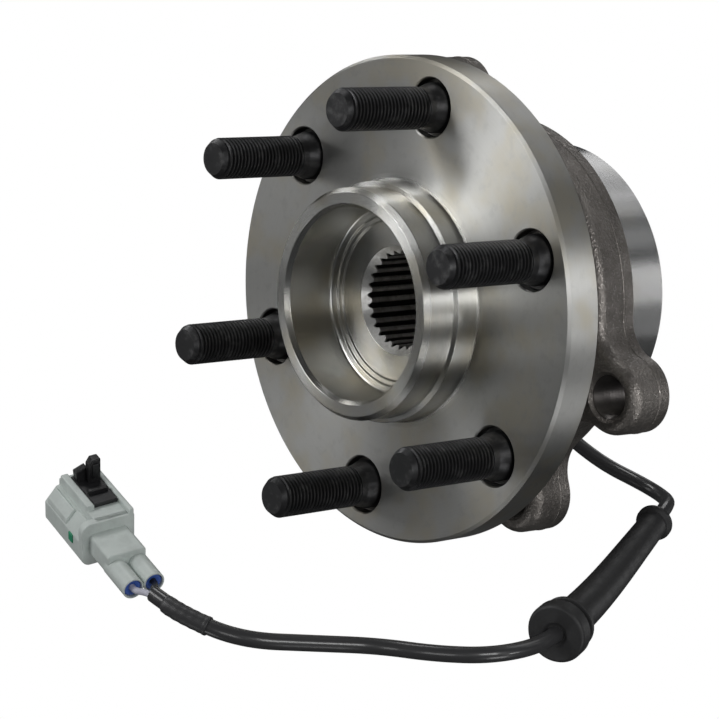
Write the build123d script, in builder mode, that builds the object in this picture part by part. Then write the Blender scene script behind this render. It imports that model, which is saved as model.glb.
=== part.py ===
"""Front wheel hub bearing of a four-wheel-drive vehicle, with its wheel speed sensor and lead.

The row frame has +Z up and +X to the right. The axle lies along Y: outboard, towards the wheel,
is -Y and inboard is +Y. The origin is the centre of the ring's knuckle mounting face.
All lengths are in millimetres and all angles in degrees.
"""

import os
from math import cos, hypot, pi, radians, sin, sqrt, tan

from build123d import *

# ---- Running gear: axial stations from the knuckle face -------------------------------------
flange_thickness = 11.5
plate_thickness = 14.0  # the ring's knuckle plate
barrel_reach = 29.0  # knuckle face to the ring's outboard end
spigot_length = 22.0
flange_gap = 3.5  # the ring's outboard end to the wheel flange
outboard_row_inset = 12.0  # ball row centres, in from the ring's ends
inboard_row_inset = 15.0

# ---- Rolling elements ------------------------------------------------------------------------
ball_r = 6.35
ball_pitch_r = 33.0
balls_per_row = 14
race_clearance = 0.12  # ball to raceway
pocket_clearance = 0.15  # ball to cage
cage_half_width = 2.2  # radial
cage_back = 7.6  # ball centre to the cage's closed side
cage_front = 2.4  # ball centre to the tips of its fingers
inner_shoulder_depth = 3.77  # raceway bottoms to the lands beside them
inner_land_depth = 0.77
outer_shoulder_depth = 3.27
outer_land_depth = 0.57

# ---- Hub: spindle, wheel flange and pilots ---------------------------------------------------
flange_r = 70.0
rim_chamfer = 0.8
wheel_pilot_r = 33.05
wheel_pilot_reach = 17.7
pilot_wall = 5.55
rotor_pilot_step = 1.45  # radial steps: wheel pilot to rotor pilot, and rotor pilot to collar
rotor_pilot_reach = 7.3
collar_step = 1.3
collar_reach = 1.4
undercut_width = 1.8
undercut_depth = 0.6
cup_step_width = 2.5
cup_inner_step_width = 1.5
cup_depth = 18.5  # from the pilot's rim
seal_land_height = 1.7  # above the high shoulder
seal_land_setback = 0.8  # from the cage's closed side
inner_ring_wall = 5.8  # seat to low land
inner_ring_recess = 0.5  # its end from the spigot's end
rolled_end_step = 3.7  # high shoulder to the rolled end's rim
rolled_end_length = 4.1
lead_in_step = 1.2
lead_in_depth = 12.0
neck_blend = 4.0

# ---- Splined bore ----------------------------------------------------------------------------
spline_teeth = 28
spline_tip_r = 13.4
spline_tooth_height = 0.9
spline_space_share = 0.66  # share of the pitch that is open at the tooth tips
spline_root_share = 0.2  # and at the bottoms of the spaces

# ---- Wheel studs -----------------------------------------------------------------------------
stud_count = 6
stud_rim_distance = 12.85  # stud centre to the flange's rim, for a 6 x 114.3 pattern
stud_clock = 30.0
stud_r = 6.0
stud_reach = 34.0  # beyond the wheel face
stud_tip_r = 4.6
stud_tip_length = 2.0
stud_collar_r = 7.1
stud_collar_length = 3.2
stud_shank_r = 6.5
stud_recess_r = 8.35
stud_recess_depth = 3.4
stud_head_r = 9.0
stud_head_thickness = 4.0

# ---- Outer ring ------------------------------------------------------------------------------
barrel_wall = 4.5
spigot_wall = 3.0
plate_width = 7.3  # beyond the barrel
plate_round = 3.6
neck_width = 2.5  # slope from the plate down to the barrel
ear_angles = (-9.7, -59.1, 120.9, 170.3)
ear_reach = 8.2  # plate's rim to the ear's hole
ear_r = 11.3
ear_blend_r = 11.0
knuckle_hole_r = 5.35
knuckle_sink_r = 7.0
seal_bore_step = 1.6  # low land to seal bore
seal_bore_depth = 7.6  # outboard end to the counterbore's floor, and the same inboard

# ---- Seals, slinger and encoder --------------------------------------------------------------
lip_clearance = 0.3
seal_sheet = 0.8
slinger_sheet = 0.7
slinger_setback = 2.2  # from the inner ring's end
slinger_bore_clearance = 1.7
encoder_thickness = 0.8
encoder_width = 6.3

# ---- Sensor carrier and head -----------------------------------------------------------------
carrier_sheet = 1.0
carrier_rim_inset = 1.3  # inside the spigot's rim
carrier_bore_inset = 1.3  # inside the encoder's inner edge
carrier_skirt_start = 20.4
carrier_collar = 2.4
sensor_angle = -135.0
sensor_gap = 0.8  # encoder to the head's nose
sensor_nose_inset = (0.9, 0.4)  # from the encoder's inner and outer edges
sensor_nose_half_width = 5.0
sensor_window_clearance = 0.3
sensor_head_inset = 1.1  # its outer face, inside the spigot's outside
sensor_head_half_width = 9.0
sensor_head_thickness = 10.5
sensor_head_round = 1.6
sensor_outlet_r = 3.3
sensor_outlet_length = 12.0

# ---- Lead: jacket, grommet, sleeve and wires -------------------------------------------------
lead_r = 2.2
lead_clearance = 0.05
lead_route = [
    (-15.5, 30.0, -36.7),
    (-4.0, 35.0, -46.5),
    (14.0, 40.5, -54.0),
    (32.5, 43.5, -55.0),
    (46.0, 38.5, -53.5),
    (55.0, 28.0, -50.5),
    (65.0, 8.0, -53.5),
    (79.5, -22.0, -59.0),
    (90.0, -45.5, -61.0),
    (96.0, -60.5, -62.0),
    (93.5, -76.0, -63.5),
    (84.0, -87.0, -65.5),
    (71.0, -95.5, -67.8),
    (64.0, -110.5, -67.8),
    (55.5, -130.0, -67.5),
    (40.0, -138.5, -65.5),
    (30.5, -140.0, -64.0),
]
grommet_first_index = 5  # the grommet spans from the middle of this run to the middle of the last
grommet_last_index = 8
grommet_rear_r = 4.1
grommet_front_r = 5.5
grommet_collar_r = 5.4
grommet_collar_length = 2.0
grommet_ring_r = 7.75
grommet_ring_length = 1.6
grommet_groove_r = 6.2
grommet_groove_length = 2.4
grommet_button_r = 8.4
grommet_button_length = 5.0
sleeve_index = 14  # the sleeve spans from the middle of this run to the middle of the next
sleeve_wall = 0.35
wire_r = 0.9
wire_spread = 1.0  # wire centres from the lead's centre at the jacket's end
wire_lead_out = 1.5  # straight run out of the jacket, before the bend
wire_lead_in = 0.9  # and the straight run into the barrel
wire_bend_radii = (2.0, 4.5)

# ---- Connector, on its own axes: x to its left, y up, z the way it mates ----------------------
connector_place = (24.4, -138.7, -64.6)  # between the mouths of the two wire barrels
connector_mating = (-0.98, 0.124, 0.13)
connector_roll = 12.5
barrel_pitch = 6.1
wire_barrel_r = 3.0
wire_barrel_bore_r = 2.5
wire_barrel_length = 10.0
rear_block_half_width = 5.6
rear_block_top = 4.5
rear_block_bottom = -3.1
rear_block_length = 11.5
rear_wall_half_width = 7.8
rear_wall_top = 7.7
rear_wall_bottom = -5.4
rear_wall_round = 2.8
rear_wall_thickness = 2.5
shroud_length = 24.0  # with the rear wall
shroud_half_width = 7.7
shroud_shoulder = 1.4  # where its side leans in to the top
shroud_top = 5.6
shroud_top_left = 4.2
shroud_bottom = -4.6
socket_half_width = 5.8
socket_height = 6.8
socket_lift = -0.5
socket_depth = 14.0
rail_top = 9.2
left_rail = (1.2, 3.4)
right_rail = (-7.6, -6.1)
left_rail_setback = 6.0  # its rear end, from the rear wall
pad_proud = 0.7
pad_span = (11.0, 22.8)  # from the rear wall
retainer_size = (2.2, 2.8, 2.6)
retainer_place = 27.4
clip_span = (6.6, 21.6)  # from the rear wall
clip_thickness = 1.4
clip_clearance = 0.1
clip_bar_place = 11.0
clip_mast = ((-5.6, -2.0), 16.4, 2.8)  # sides, top, thickness
clip_mast_place = 16.2
clip_wing = ((-2.4, 1.0), 13.2, 2.6)
clip_wing_place = 18.2
wire_seal_length = 5.0
wire_seal_inset = 0.6
wire_end = 9.0  # where the wires meet the terminals, from the barrels' mouths
crimp_r = 1.3
pin_half_width = 0.75
pin_half_thickness = 0.4
pin_setback = 6.4  # pin tips to the connector's mouth

# ---- Sizes that follow -----------------------------------------------------------------------
flange_back = -barrel_reach - flange_gap
wheel_face = flange_back - flange_thickness
cup_floor = wheel_face - wheel_pilot_reach + cup_depth
outboard_row = -barrel_reach + outboard_row_inset
inboard_row = spigot_length - inboard_row_inset
ring_shoulder = (outboard_row + inboard_row) / 2  # the inner ring butts against it
seal_land_end = outboard_row - cage_back - seal_land_setback
race_r = ball_r + race_clearance
high_shoulder_r = ball_pitch_r - race_r + inner_shoulder_depth
low_land_r = ball_pitch_r - race_r + inner_land_depth
outer_land_r = ball_pitch_r + race_r - outer_shoulder_depth
outer_low_land_r = ball_pitch_r + race_r - outer_land_depth
seal_land_r = high_shoulder_r + seal_land_height
seal_bore_r = outer_low_land_r + seal_bore_step
ring_seat_r = low_land_r - inner_ring_wall
rolled_end_r = high_shoulder_r - rolled_end_step
inner_ring_end = spigot_length - inner_ring_recess
spindle_end = inner_ring_end + rolled_end_length
rotor_pilot_r = wheel_pilot_r + rotor_pilot_step
collar_r = rotor_pilot_r + collar_step
cup_r = wheel_pilot_r - pilot_wall
cup_step_r = cup_r - cup_step_width
cup_inner_step_r = cup_step_r - cup_inner_step_width
spline_root_r = spline_tip_r + spline_tooth_height
lead_in_r = spline_root_r + lead_in_step
stud_pitch_r = flange_r - stud_rim_distance
barrel_r = seal_bore_r + barrel_wall
spigot_r = seal_bore_r + spigot_wall
plate_r = barrel_r + plate_width
ear_pitch_r = plate_r + ear_reach
slinger_face = inner_ring_end - slinger_setback
slinger_r = seal_bore_r - slinger_bore_clearance
encoder_inner_r = slinger_r - encoder_width
carrier_r = spigot_r - carrier_rim_inset
carrier_bore_r = encoder_inner_r - carrier_bore_inset
sensor_nose_r = (encoder_inner_r + sensor_nose_inset[0], slinger_r - sensor_nose_inset[1])
sensor_head_r = spigot_r - sensor_head_inset
lead_bore_r = lead_r + lead_clearance
outboard_bore_floor = -barrel_reach + seal_bore_depth
inboard_bore_floor = spigot_length - seal_bore_depth

os.makedirs("parts", exist_ok=True)


def across(station):
    """The plane square to the axle at a station; an extrusion from it runs outboard."""
    return Plane.XZ.offset(-station)


def race_edge(land_r):
    """Axial distance from a ball's centre to where its raceway meets a land."""
    return sqrt(race_r**2 - (ball_pitch_r - land_r) ** 2)


def write(piece, label):
    """Label a finished piece and write its STEP file."""
    piece.part.label = label
    export_step(piece.part, f"parts/{label}.step")


# ---- Hub with its wheel flange ---------------------------------------------------------------
with BuildPart() as hub_flange:
    with BuildSketch(Plane.XY):
        with BuildLine():
            pilot_rim = wheel_face - wheel_pilot_reach
            rotor_step = wheel_face - rotor_pilot_reach
            collar_edge = wheel_face - collar_reach
            undercut_r = collar_r + undercut_width
            undercut_floor = wheel_face + undercut_depth
            race_start = outboard_row - race_edge(high_shoulder_r)
            race_stop = outboard_row + race_edge(low_land_r)
            Polyline(
                (spline_tip_r, spindle_end - lead_in_depth - 1.5),
                (spline_tip_r, cup_floor + 2.0),
                (lead_in_r + 0.1, cup_floor),
                (cup_inner_step_r - 0.4, cup_floor - 0.4),
                (cup_inner_step_r, cup_floor - 0.9),
                (cup_step_r - 0.4, cup_floor - 0.9),
                (cup_step_r, cup_floor - 1.6),
                (cup_r - 1.5, cup_floor - 1.6),
                (cup_r, cup_floor - 3.1),
                (cup_r, pilot_rim + 1.4),
                (cup_r + 1.1, pilot_rim),
                (wheel_pilot_r - 1.3, pilot_rim),
                (wheel_pilot_r, pilot_rim + 1.7),
                (wheel_pilot_r, rotor_step - 0.5),
                (rotor_pilot_r, rotor_step),
                (rotor_pilot_r, collar_edge - 0.4),
                (collar_r, collar_edge),
                (collar_r, undercut_floor),
                (undercut_r, undercut_floor),
                (undercut_r + undercut_depth, wheel_face),
                (flange_r - rim_chamfer, wheel_face),
                (flange_r, wheel_face + rim_chamfer),
                (flange_r, flange_back - rim_chamfer),
                (flange_r - rim_chamfer, flange_back),
                (seal_land_r + neck_blend, flange_back),
            )
            RadiusArc(
                (seal_land_r + neck_blend, flange_back),
                (seal_land_r, flange_back + neck_blend),
                neck_blend,
            )
            Polyline(
                (seal_land_r, flange_back + neck_blend),
                (seal_land_r, seal_land_end),
                (high_shoulder_r, seal_land_end + 0.8),
                (high_shoulder_r, race_start),
            )
            ThreePointArc(
                (high_shoulder_r, race_start),
                (ball_pitch_r - race_r, outboard_row),
                (low_land_r, race_stop),
            )
            Polyline(
                (low_land_r, race_stop),
                (low_land_r, ring_shoulder - 0.6),
                (low_land_r - 0.6, ring_shoulder),
                (ring_seat_r, ring_shoulder),
                (ring_seat_r, inner_ring_end),
                (rolled_end_r, inner_ring_end),
            )
            ThreePointArc(
                (rolled_end_r, inner_ring_end),
                (rolled_end_r - 0.7, spindle_end - 1.3),
                (rolled_end_r - 3.6, spindle_end),
            )
            Polyline(
                (rolled_end_r - 3.6, spindle_end),
                (lead_in_r + 1.0, spindle_end),
                (lead_in_r, spindle_end - 1.0),
                (lead_in_r, spindle_end - lead_in_depth),
                (spline_tip_r, spindle_end - lead_in_depth - 1.5),
            )
        make_face()
    revolve(axis=Axis.Y)
    # Wheel stud holes, each sunk at the wheel face
    with BuildSketch(across(wheel_face)):
        with PolarLocations(stud_pitch_r, stud_count, start_angle=stud_clock):
            Circle(stud_recess_r)
    extrude(amount=-stud_recess_depth, mode=Mode.SUBTRACT)
    with BuildSketch(across(wheel_face)):
        with PolarLocations(stud_pitch_r, stud_count, start_angle=stud_clock):
            Circle(stud_shank_r)
    extrude(amount=-flange_thickness, mode=Mode.SUBTRACT)
    # Spline spaces, cut from the cup's floor through to the lead-in bore
    space_at_tip = pi * spline_tip_r / spline_teeth * spline_space_share
    space_at_root = pi * spline_root_r / spline_teeth * spline_root_share
    with BuildSketch(across(cup_floor)):
        with PolarLocations(0, spline_teeth):
            with BuildLine():
                Polyline(
                    (spline_tip_r - 0.6, -space_at_tip),
                    (spline_tip_r, -space_at_tip),
                    (spline_root_r, -space_at_root),
                    (spline_root_r, space_at_root),
                    (spline_tip_r, space_at_tip),
                    (spline_tip_r - 0.6, space_at_tip),
                    close=True,
                )
            make_face()
    extrude(amount=-(spindle_end - lead_in_depth - cup_floor + 1.5), mode=Mode.SUBTRACT)
write(hub_flange, "hub_flange")

# ---- Wheel studs, pressed in from behind -----------------------------------------------------
with BuildPart() as wheel_studs:
    with BuildSketch(Plane.XY.rotated((0, -stud_clock, 0))):
        with BuildLine():
            tip = wheel_face - stud_reach
            collar_start = wheel_face + 0.4 - stud_collar_length
            recess_floor = wheel_face + stud_recess_depth
            head_back = flange_back + stud_head_thickness
            Polyline(
                (stud_pitch_r, tip),
                (stud_pitch_r + stud_tip_r, tip),
                (stud_pitch_r + stud_r, tip + stud_tip_length),
                (stud_pitch_r + stud_r, collar_start),
                (stud_pitch_r + stud_collar_r, wheel_face + 0.4),
                (stud_pitch_r + stud_collar_r, recess_floor),
                (stud_pitch_r + stud_shank_r, recess_floor),
                (stud_pitch_r + stud_shank_r, flange_back),
                (stud_pitch_r + stud_head_r, flange_back),
                (stud_pitch_r + stud_head_r, head_back - 1.0),
                (stud_pitch_r + stud_head_r - 1.6, head_back),
                (stud_pitch_r, head_back),
                close=True,
            )
        make_face()
    stud_angle = radians(stud_clock)
    stud_axis = Axis(
        (stud_pitch_r * cos(stud_angle), 0, stud_pitch_r * sin(stud_angle)), (0, 1, 0)
    )
    revolve(axis=stud_axis)
    one_stud = wheel_studs.part
    for turn in range(1, stud_count):
        add(one_stud.rotate(Axis.Y, turn * 360 / stud_count))
write(wheel_studs, "wheel_studs")

# ---- Inner ring, pressed on the spindle and held by its rolled end ---------------------------
with BuildPart() as inner_ring:
    with BuildSketch(Plane.XY):
        with BuildLine():
            race_start = inboard_row - race_edge(low_land_r)
            race_stop = inboard_row + race_edge(high_shoulder_r)
            Polyline(
                (ring_seat_r, inner_ring_end),
                (ring_seat_r, ring_shoulder),
                (low_land_r - 0.6, ring_shoulder),
                (low_land_r, ring_shoulder + 0.6),
                (low_land_r, race_start),
            )
            ThreePointArc(
                (low_land_r, race_start),
                (ball_pitch_r - race_r, inboard_row),
                (high_shoulder_r, race_stop),
            )
            Polyline(
                (high_shoulder_r, race_stop),
                (high_shoulder_r, inner_ring_end - 0.8),
                (high_shoulder_r - 0.8, inner_ring_end),
                (ring_seat_r, inner_ring_end),
            )
        make_face()
    revolve(axis=Axis.Y)
write(inner_ring, "inner_ring")

# ---- Outer ring: forged barrel and turned spigot, and the knuckle plate round it --------------
with BuildPart() as outer_ring:
    with BuildSketch(Plane.XY):
        with BuildLine():
            Polyline(
                (0, -barrel_reach),
                (barrel_r - 1.0, -barrel_reach),
                (barrel_r, -barrel_reach + 1.0),
                (barrel_r, 0),
                (spigot_r, 0),
                (spigot_r, spigot_length - 1.0),
                (spigot_r - 1.0, spigot_length),
                (0, spigot_length),
                close=True,
            )
        make_face()
    revolve(axis=Axis.Y)
    # Bore: seal seats, raceways and the high land between them
    with BuildSketch(Plane.XY):
        with BuildLine():
            low_edge = race_edge(outer_low_land_r)
            high_edge = race_edge(outer_land_r)
            Polyline(
                (0, -barrel_reach - 1),
                (seal_bore_r + 0.6, -barrel_reach - 1),
                (seal_bore_r + 0.6, -barrel_reach),
                (seal_bore_r, -barrel_reach + 0.6),
                (seal_bore_r, outboard_bore_floor),
                (outer_low_land_r, outboard_bore_floor),
                (outer_low_land_r, outboard_row - low_edge),
            )
            ThreePointArc(
                (outer_low_land_r, outboard_row - low_edge),
                (ball_pitch_r + race_r, outboard_row),
                (outer_land_r, outboard_row + high_edge),
            )
            Line(
                (outer_land_r, outboard_row + high_edge), (outer_land_r, inboard_row - high_edge)
            )
            ThreePointArc(
                (outer_land_r, inboard_row - high_edge),
                (ball_pitch_r + race_r, inboard_row),
                (outer_low_land_r, inboard_row + low_edge),
            )
            Polyline(
                (outer_low_land_r, inboard_row + low_edge),
                (outer_low_land_r, inboard_bore_floor),
                (seal_bore_r, inboard_bore_floor),
                (seal_bore_r, spigot_length - 0.6),
                (seal_bore_r + 0.6, spigot_length),
                (seal_bore_r + 0.6, spigot_length + 1),
                (0, spigot_length + 1),
                (0, -barrel_reach - 1),
            )
        make_face()
    revolve(axis=Axis.Y, mode=Mode.SUBTRACT)
write(outer_ring, "outer_ring")

# The plate is one forging with the ring, and stands as a solid of its own round the barrel
with BuildPart() as knuckle_plate:
    with BuildSketch(across(0)) as plate_outline:
        Circle(plate_r)
        for angle in ear_angles:
            with Locations(Rotation(0, 0, angle)):
                with Locations((ear_pitch_r / 2, 0)):
                    Rectangle(ear_pitch_r, 2 * ear_r)
                with Locations((ear_pitch_r, 0)):
                    Circle(ear_r)
        blends = plate_outline.vertices().filter_by(
            lambda v: abs(hypot(v.X, v.Y) - plate_r) < 0.5
        )
        fillet(blends, ear_blend_r)
    extrude(amount=plate_thickness)
    outboard_rim = knuckle_plate.faces().sort_by(Axis.Y)[0].edges()
    fillet(outboard_rim, plate_round)
    # Neck that runs out onto the barrel
    with BuildSketch(Plane.XY):
        with BuildLine():
            Polyline(
                (0, -plate_thickness - neck_width),
                (barrel_r, -plate_thickness - neck_width),
                (barrel_r + neck_width, -plate_thickness),
                (barrel_r + neck_width, -1.0),
                (0, -1.0),
                close=True,
            )
        make_face()
    revolve(axis=Axis.Y)
    with BuildSketch(across(1.0)):
        Circle(barrel_r)
    extrude(amount=plate_thickness + neck_width + 2.0, mode=Mode.SUBTRACT)
    # Tapped holes in the ears, sunk at the outboard side
    for angle in ear_angles:
        ear_angle = radians(angle)
        ear_x = ear_pitch_r * cos(ear_angle)
        ear_z = ear_pitch_r * sin(ear_angle)
        with BuildSketch(across(0)):
            with Locations((ear_x, ear_z)):
                Circle(knuckle_hole_r)
        extrude(amount=plate_thickness, mode=Mode.SUBTRACT)
        sink = knuckle_sink_r - knuckle_hole_r
        with BuildSketch(across(-plate_thickness)):
            with Locations((ear_x, ear_z)):
                Circle(knuckle_sink_r)
        extrude(amount=-sink, taper=45, mode=Mode.SUBTRACT)
write(knuckle_plate, "knuckle_plate")

# ---- Ball rows and their snap cages ----------------------------------------------------------
for row_name, row_station, back_way in (
    ("outboard", outboard_row, -1),
    ("inboard", inboard_row, 1),
):
    ball_spots = [
        (
            ball_pitch_r * cos(2 * pi * ball / balls_per_row),
            row_station,
            ball_pitch_r * sin(2 * pi * ball / balls_per_row),
        )
        for ball in range(balls_per_row)
    ]
    with BuildPart() as balls:
        with Locations(*ball_spots):
            Sphere(ball_r)
    write(balls, f"balls_{row_name}")

    with BuildPart() as cage:
        cage_middle = row_station + back_way * (cage_back - cage_front) / 2
        with BuildSketch(Plane.XY):
            with Locations((ball_pitch_r, cage_middle)):
                Rectangle(2 * cage_half_width, cage_back + cage_front)
        revolve(axis=Axis.Y)
        for spot in ball_spots:
            with BuildSketch(Plane(origin=spot, z_dir=(spot[0], 0, spot[2]))):
                Circle(ball_r + pocket_clearance)
            extrude(amount=2 * cage_half_width, both=True, mode=Mode.SUBTRACT)
    write(cage, f"cage_{row_name}")

# ---- Outboard seal: stamped case with a moulded lip that runs on the hub ---------------------
outboard_web = outboard_row - cage_back - 0.5  # face of the case nearest the cage


def up_from(inner_r, share):
    """Radius at a share of the way from what a seal runs on to its seat in the ring."""
    return inner_r + share * (seal_bore_r - inner_r)


web_edge = up_from(seal_land_r, 0.52)
with BuildPart() as outboard_seal_case:
    with BuildSketch(Plane.XY):
        with BuildLine():
            Polyline(
                (seal_bore_r, -barrel_reach + 0.7),
                (seal_bore_r, outboard_web),
                (web_edge, outboard_web),
                (web_edge, outboard_web - seal_sheet),
                (seal_bore_r - seal_sheet, outboard_web - seal_sheet),
                (seal_bore_r - seal_sheet, -barrel_reach + 0.7),
                close=True,
            )
        make_face()
    revolve(axis=Axis.Y)
write(outboard_seal_case, "outboard_seal_case")

with BuildPart() as outboard_seal_lip:
    with BuildSketch(Plane.XY):
        with BuildLine():
            lip_r = seal_land_r + lip_clearance
            Polyline(
                (web_edge, outboard_web),
                (web_edge, outboard_web - seal_sheet),
                (up_from(seal_land_r, 0.82), outboard_web - seal_sheet),
                (up_from(seal_land_r, 0.82), outboard_web - seal_sheet - 0.8),
                (up_from(seal_land_r, 0.75), -barrel_reach + 0.2),
                (up_from(seal_land_r, 0.63), -barrel_reach - 1.6),
                (up_from(seal_land_r, 0.56), -barrel_reach - 1.4),
                (up_from(seal_land_r, 0.61), outboard_web - seal_sheet - 1.2),
                (up_from(seal_land_r, 0.28), outboard_web - seal_sheet - 1.2),
                (lip_r + 0.5, -barrel_reach + 0.6),
                (lip_r, -barrel_reach + 0.9),
                (up_from(seal_land_r, 0.17), outboard_web - 0.9),
                (lip_r, outboard_web - 0.2),
                (lip_r + 0.6, outboard_web + 0.2),
                (up_from(seal_land_r, 0.33), outboard_web),
                close=True,
            )
        make_face()
    revolve(axis=Axis.Y)
write(outboard_seal_lip, "outboard_seal_lip")

# ---- Inboard seal, slinger and magnetic encoder ----------------------------------------------
inboard_web = inboard_row + cage_back + 0.5
sleeve_r = high_shoulder_r + slinger_sheet
inboard_web_edge = up_from(sleeve_r, 0.38)
with BuildPart() as inboard_seal_case:
    with BuildSketch(Plane.XY):
        with BuildLine():
            Polyline(
                (seal_bore_r, carrier_skirt_start - 0.2),
                (seal_bore_r, inboard_web),
                (inboard_web_edge, inboard_web),
                (inboard_web_edge, inboard_web + seal_sheet),
                (seal_bore_r - seal_sheet, inboard_web + seal_sheet),
                (seal_bore_r - seal_sheet, carrier_skirt_start - 0.2),
                close=True,
            )
        make_face()
    revolve(axis=Axis.Y)
write(inboard_seal_case, "inboard_seal_case")

with BuildPart() as inboard_seal_lip:
    with BuildSketch(Plane.XY):
        with BuildLine():
            lip_r = sleeve_r + lip_clearance
            side_lip = slinger_face - slinger_sheet - lip_clearance
            Polyline(
                (inboard_web_edge, inboard_web),
                (inboard_web_edge, inboard_web + seal_sheet),
                (up_from(sleeve_r, 0.78), inboard_web + seal_sheet),
                (up_from(sleeve_r, 0.78), inboard_web + seal_sheet + 0.7),
                (up_from(sleeve_r, 0.61), side_lip),
                (up_from(sleeve_r, 0.55), side_lip),
                (up_from(sleeve_r, 0.61), inboard_web + seal_sheet + 0.9),
                (up_from(sleeve_r, 0.3), inboard_web + seal_sheet + 0.9),
                (lip_r + 0.5, side_lip),
                (lip_r, side_lip - 0.4),
                (up_from(sleeve_r, 0.19), inboard_web + 0.9),
                (lip_r, inboard_web + 0.4),
                (lip_r + 0.5, inboard_web - 0.1),
                (up_from(sleeve_r, 0.25), inboard_web),
                close=True,
            )
        make_face()
    revolve(axis=Axis.Y)
write(inboard_seal_lip, "inboard_seal_lip")

with BuildPart() as slinger:
    with BuildSketch(Plane.XY):
        with BuildLine():
            Polyline(
                (high_shoulder_r, inboard_web + 0.4),
                (sleeve_r, inboard_web + 0.4),
                (sleeve_r, slinger_face - slinger_sheet),
                (slinger_r, slinger_face - slinger_sheet),
                (slinger_r, slinger_face),
                (high_shoulder_r, slinger_face),
                close=True,
            )
        make_face()
    revolve(axis=Axis.Y)
write(slinger, "slinger")

with BuildPart() as encoder_ring:
    with BuildSketch(across(slinger_face)):
        Circle(slinger_r)
        Circle(encoder_inner_r, mode=Mode.SUBTRACT)
    extrude(amount=-encoder_thickness)
write(encoder_ring, "encoder_ring")

# ---- Sensor carrier, pressed into the inboard end, and the sensor head on it -----------------
carrier_face = spigot_length + carrier_sheet
sensor_plane = Plane(
    origin=(0, carrier_face, 0),
    x_dir=(cos(radians(sensor_angle)), 0, sin(radians(sensor_angle))),
    z_dir=(0, 1, 0),
)
nose_length = sensor_nose_r[1] - sensor_nose_r[0]
nose_middle = (sensor_nose_r[0] + sensor_nose_r[1]) / 2
nose_depth = carrier_face - slinger_face - encoder_thickness - sensor_gap

with BuildPart() as sensor_carrier:
    with BuildSketch(Plane.XY):
        with BuildLine():
            Polyline(
                (seal_bore_r, carrier_skirt_start),
                (seal_bore_r, spigot_length),
                (carrier_r, spigot_length),
                (carrier_r, carrier_face),
                (carrier_bore_r + carrier_sheet, carrier_face),
                (carrier_bore_r + carrier_sheet, carrier_face + carrier_collar),
                (carrier_bore_r, carrier_face + carrier_collar),
                (carrier_bore_r, spigot_length),
                (seal_bore_r - carrier_sheet, spigot_length),
                (seal_bore_r - carrier_sheet, carrier_skirt_start),
                close=True,
            )
        make_face()
    revolve(axis=Axis.Y)
    with BuildSketch(sensor_plane):
        with Locations((nose_middle, 0)):
            Rectangle(
                nose_length + 2 * sensor_window_clearance,
                2 * (sensor_nose_half_width + sensor_window_clearance),
            )
    extrude(amount=-2 * carrier_sheet, mode=Mode.SUBTRACT)
write(sensor_carrier, "sensor_carrier")

lead_exit = Vector(*lead_route[0])
lead_way = (Vector(*lead_route[1]) - lead_exit).normalized()
with BuildPart() as sensor_head:
    head_length = sensor_head_r - carrier_bore_r - carrier_sheet - 0.3
    head_middle = sensor_head_r - head_length / 2
    with BuildSketch(sensor_plane):
        with Locations((head_middle, 0)):
            RectangleRounded(head_length, 2 * sensor_head_half_width, 3.0)
    extrude(amount=sensor_head_thickness)
    fillet(sensor_head.faces().sort_by(Axis.Y)[-1].edges(), sensor_head_round)
    with BuildSketch(sensor_plane):
        with Locations((nose_middle, 0)):
            Rectangle(nose_length, 2 * sensor_nose_half_width)
    extrude(amount=-nose_depth)
    # Moulded outlet, tapering to the lead
    with BuildSketch(Plane(origin=lead_exit, z_dir=lead_way)):
        Circle(sensor_outlet_r)
    extrude(amount=-sensor_outlet_length, taper=-3)
write(sensor_head, "sensor_head")


# ---- Lead ------------------------------------------------------------------------------------
def bend_radii(points):
    """Bend radius at each inner point: tangent lengths of 0.45 of the shorter run beside it."""
    spots = [Vector(*point) for point in points]
    radii = []
    for before, corner, after in zip(spots, spots[1:], spots[2:]):
        half_turn = radians((corner - before).get_angle(after - corner)) / 2
        shorter = min((corner - before).length, (after - corner).length)
        radii.append(0.45 * shorter / tan(half_turn))
    return radii


def halfway(first):
    """The middle of the lead's run that starts at a point of its route."""
    return (Vector(*lead_route[first]) + Vector(*lead_route[first + 1])) / 2


def run_way(first):
    """Unit direction of the lead's run that starts at a point of its route."""
    return (Vector(*lead_route[first + 1]) - Vector(*lead_route[first])).normalized()


lead_radii = bend_radii(lead_route)
print("lead bend radii", [round(radius, 1) for radius in lead_radii])

with BuildPart() as sensor_cable:
    with BuildLine() as lead_path:
        FilletPolyline(*lead_route, radius=lead_radii)
    with BuildSketch(Plane(origin=lead_exit, z_dir=lead_way)):
        Circle(lead_r)
    sweep()
lead_length = lead_path.wires()[0].length
print("lead length", round(lead_length, 1))
print("lead volume", round(sensor_cable.part.volume), "of", round(pi * lead_r**2 * lead_length))
write(sensor_cable, "sensor_cable")

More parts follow.
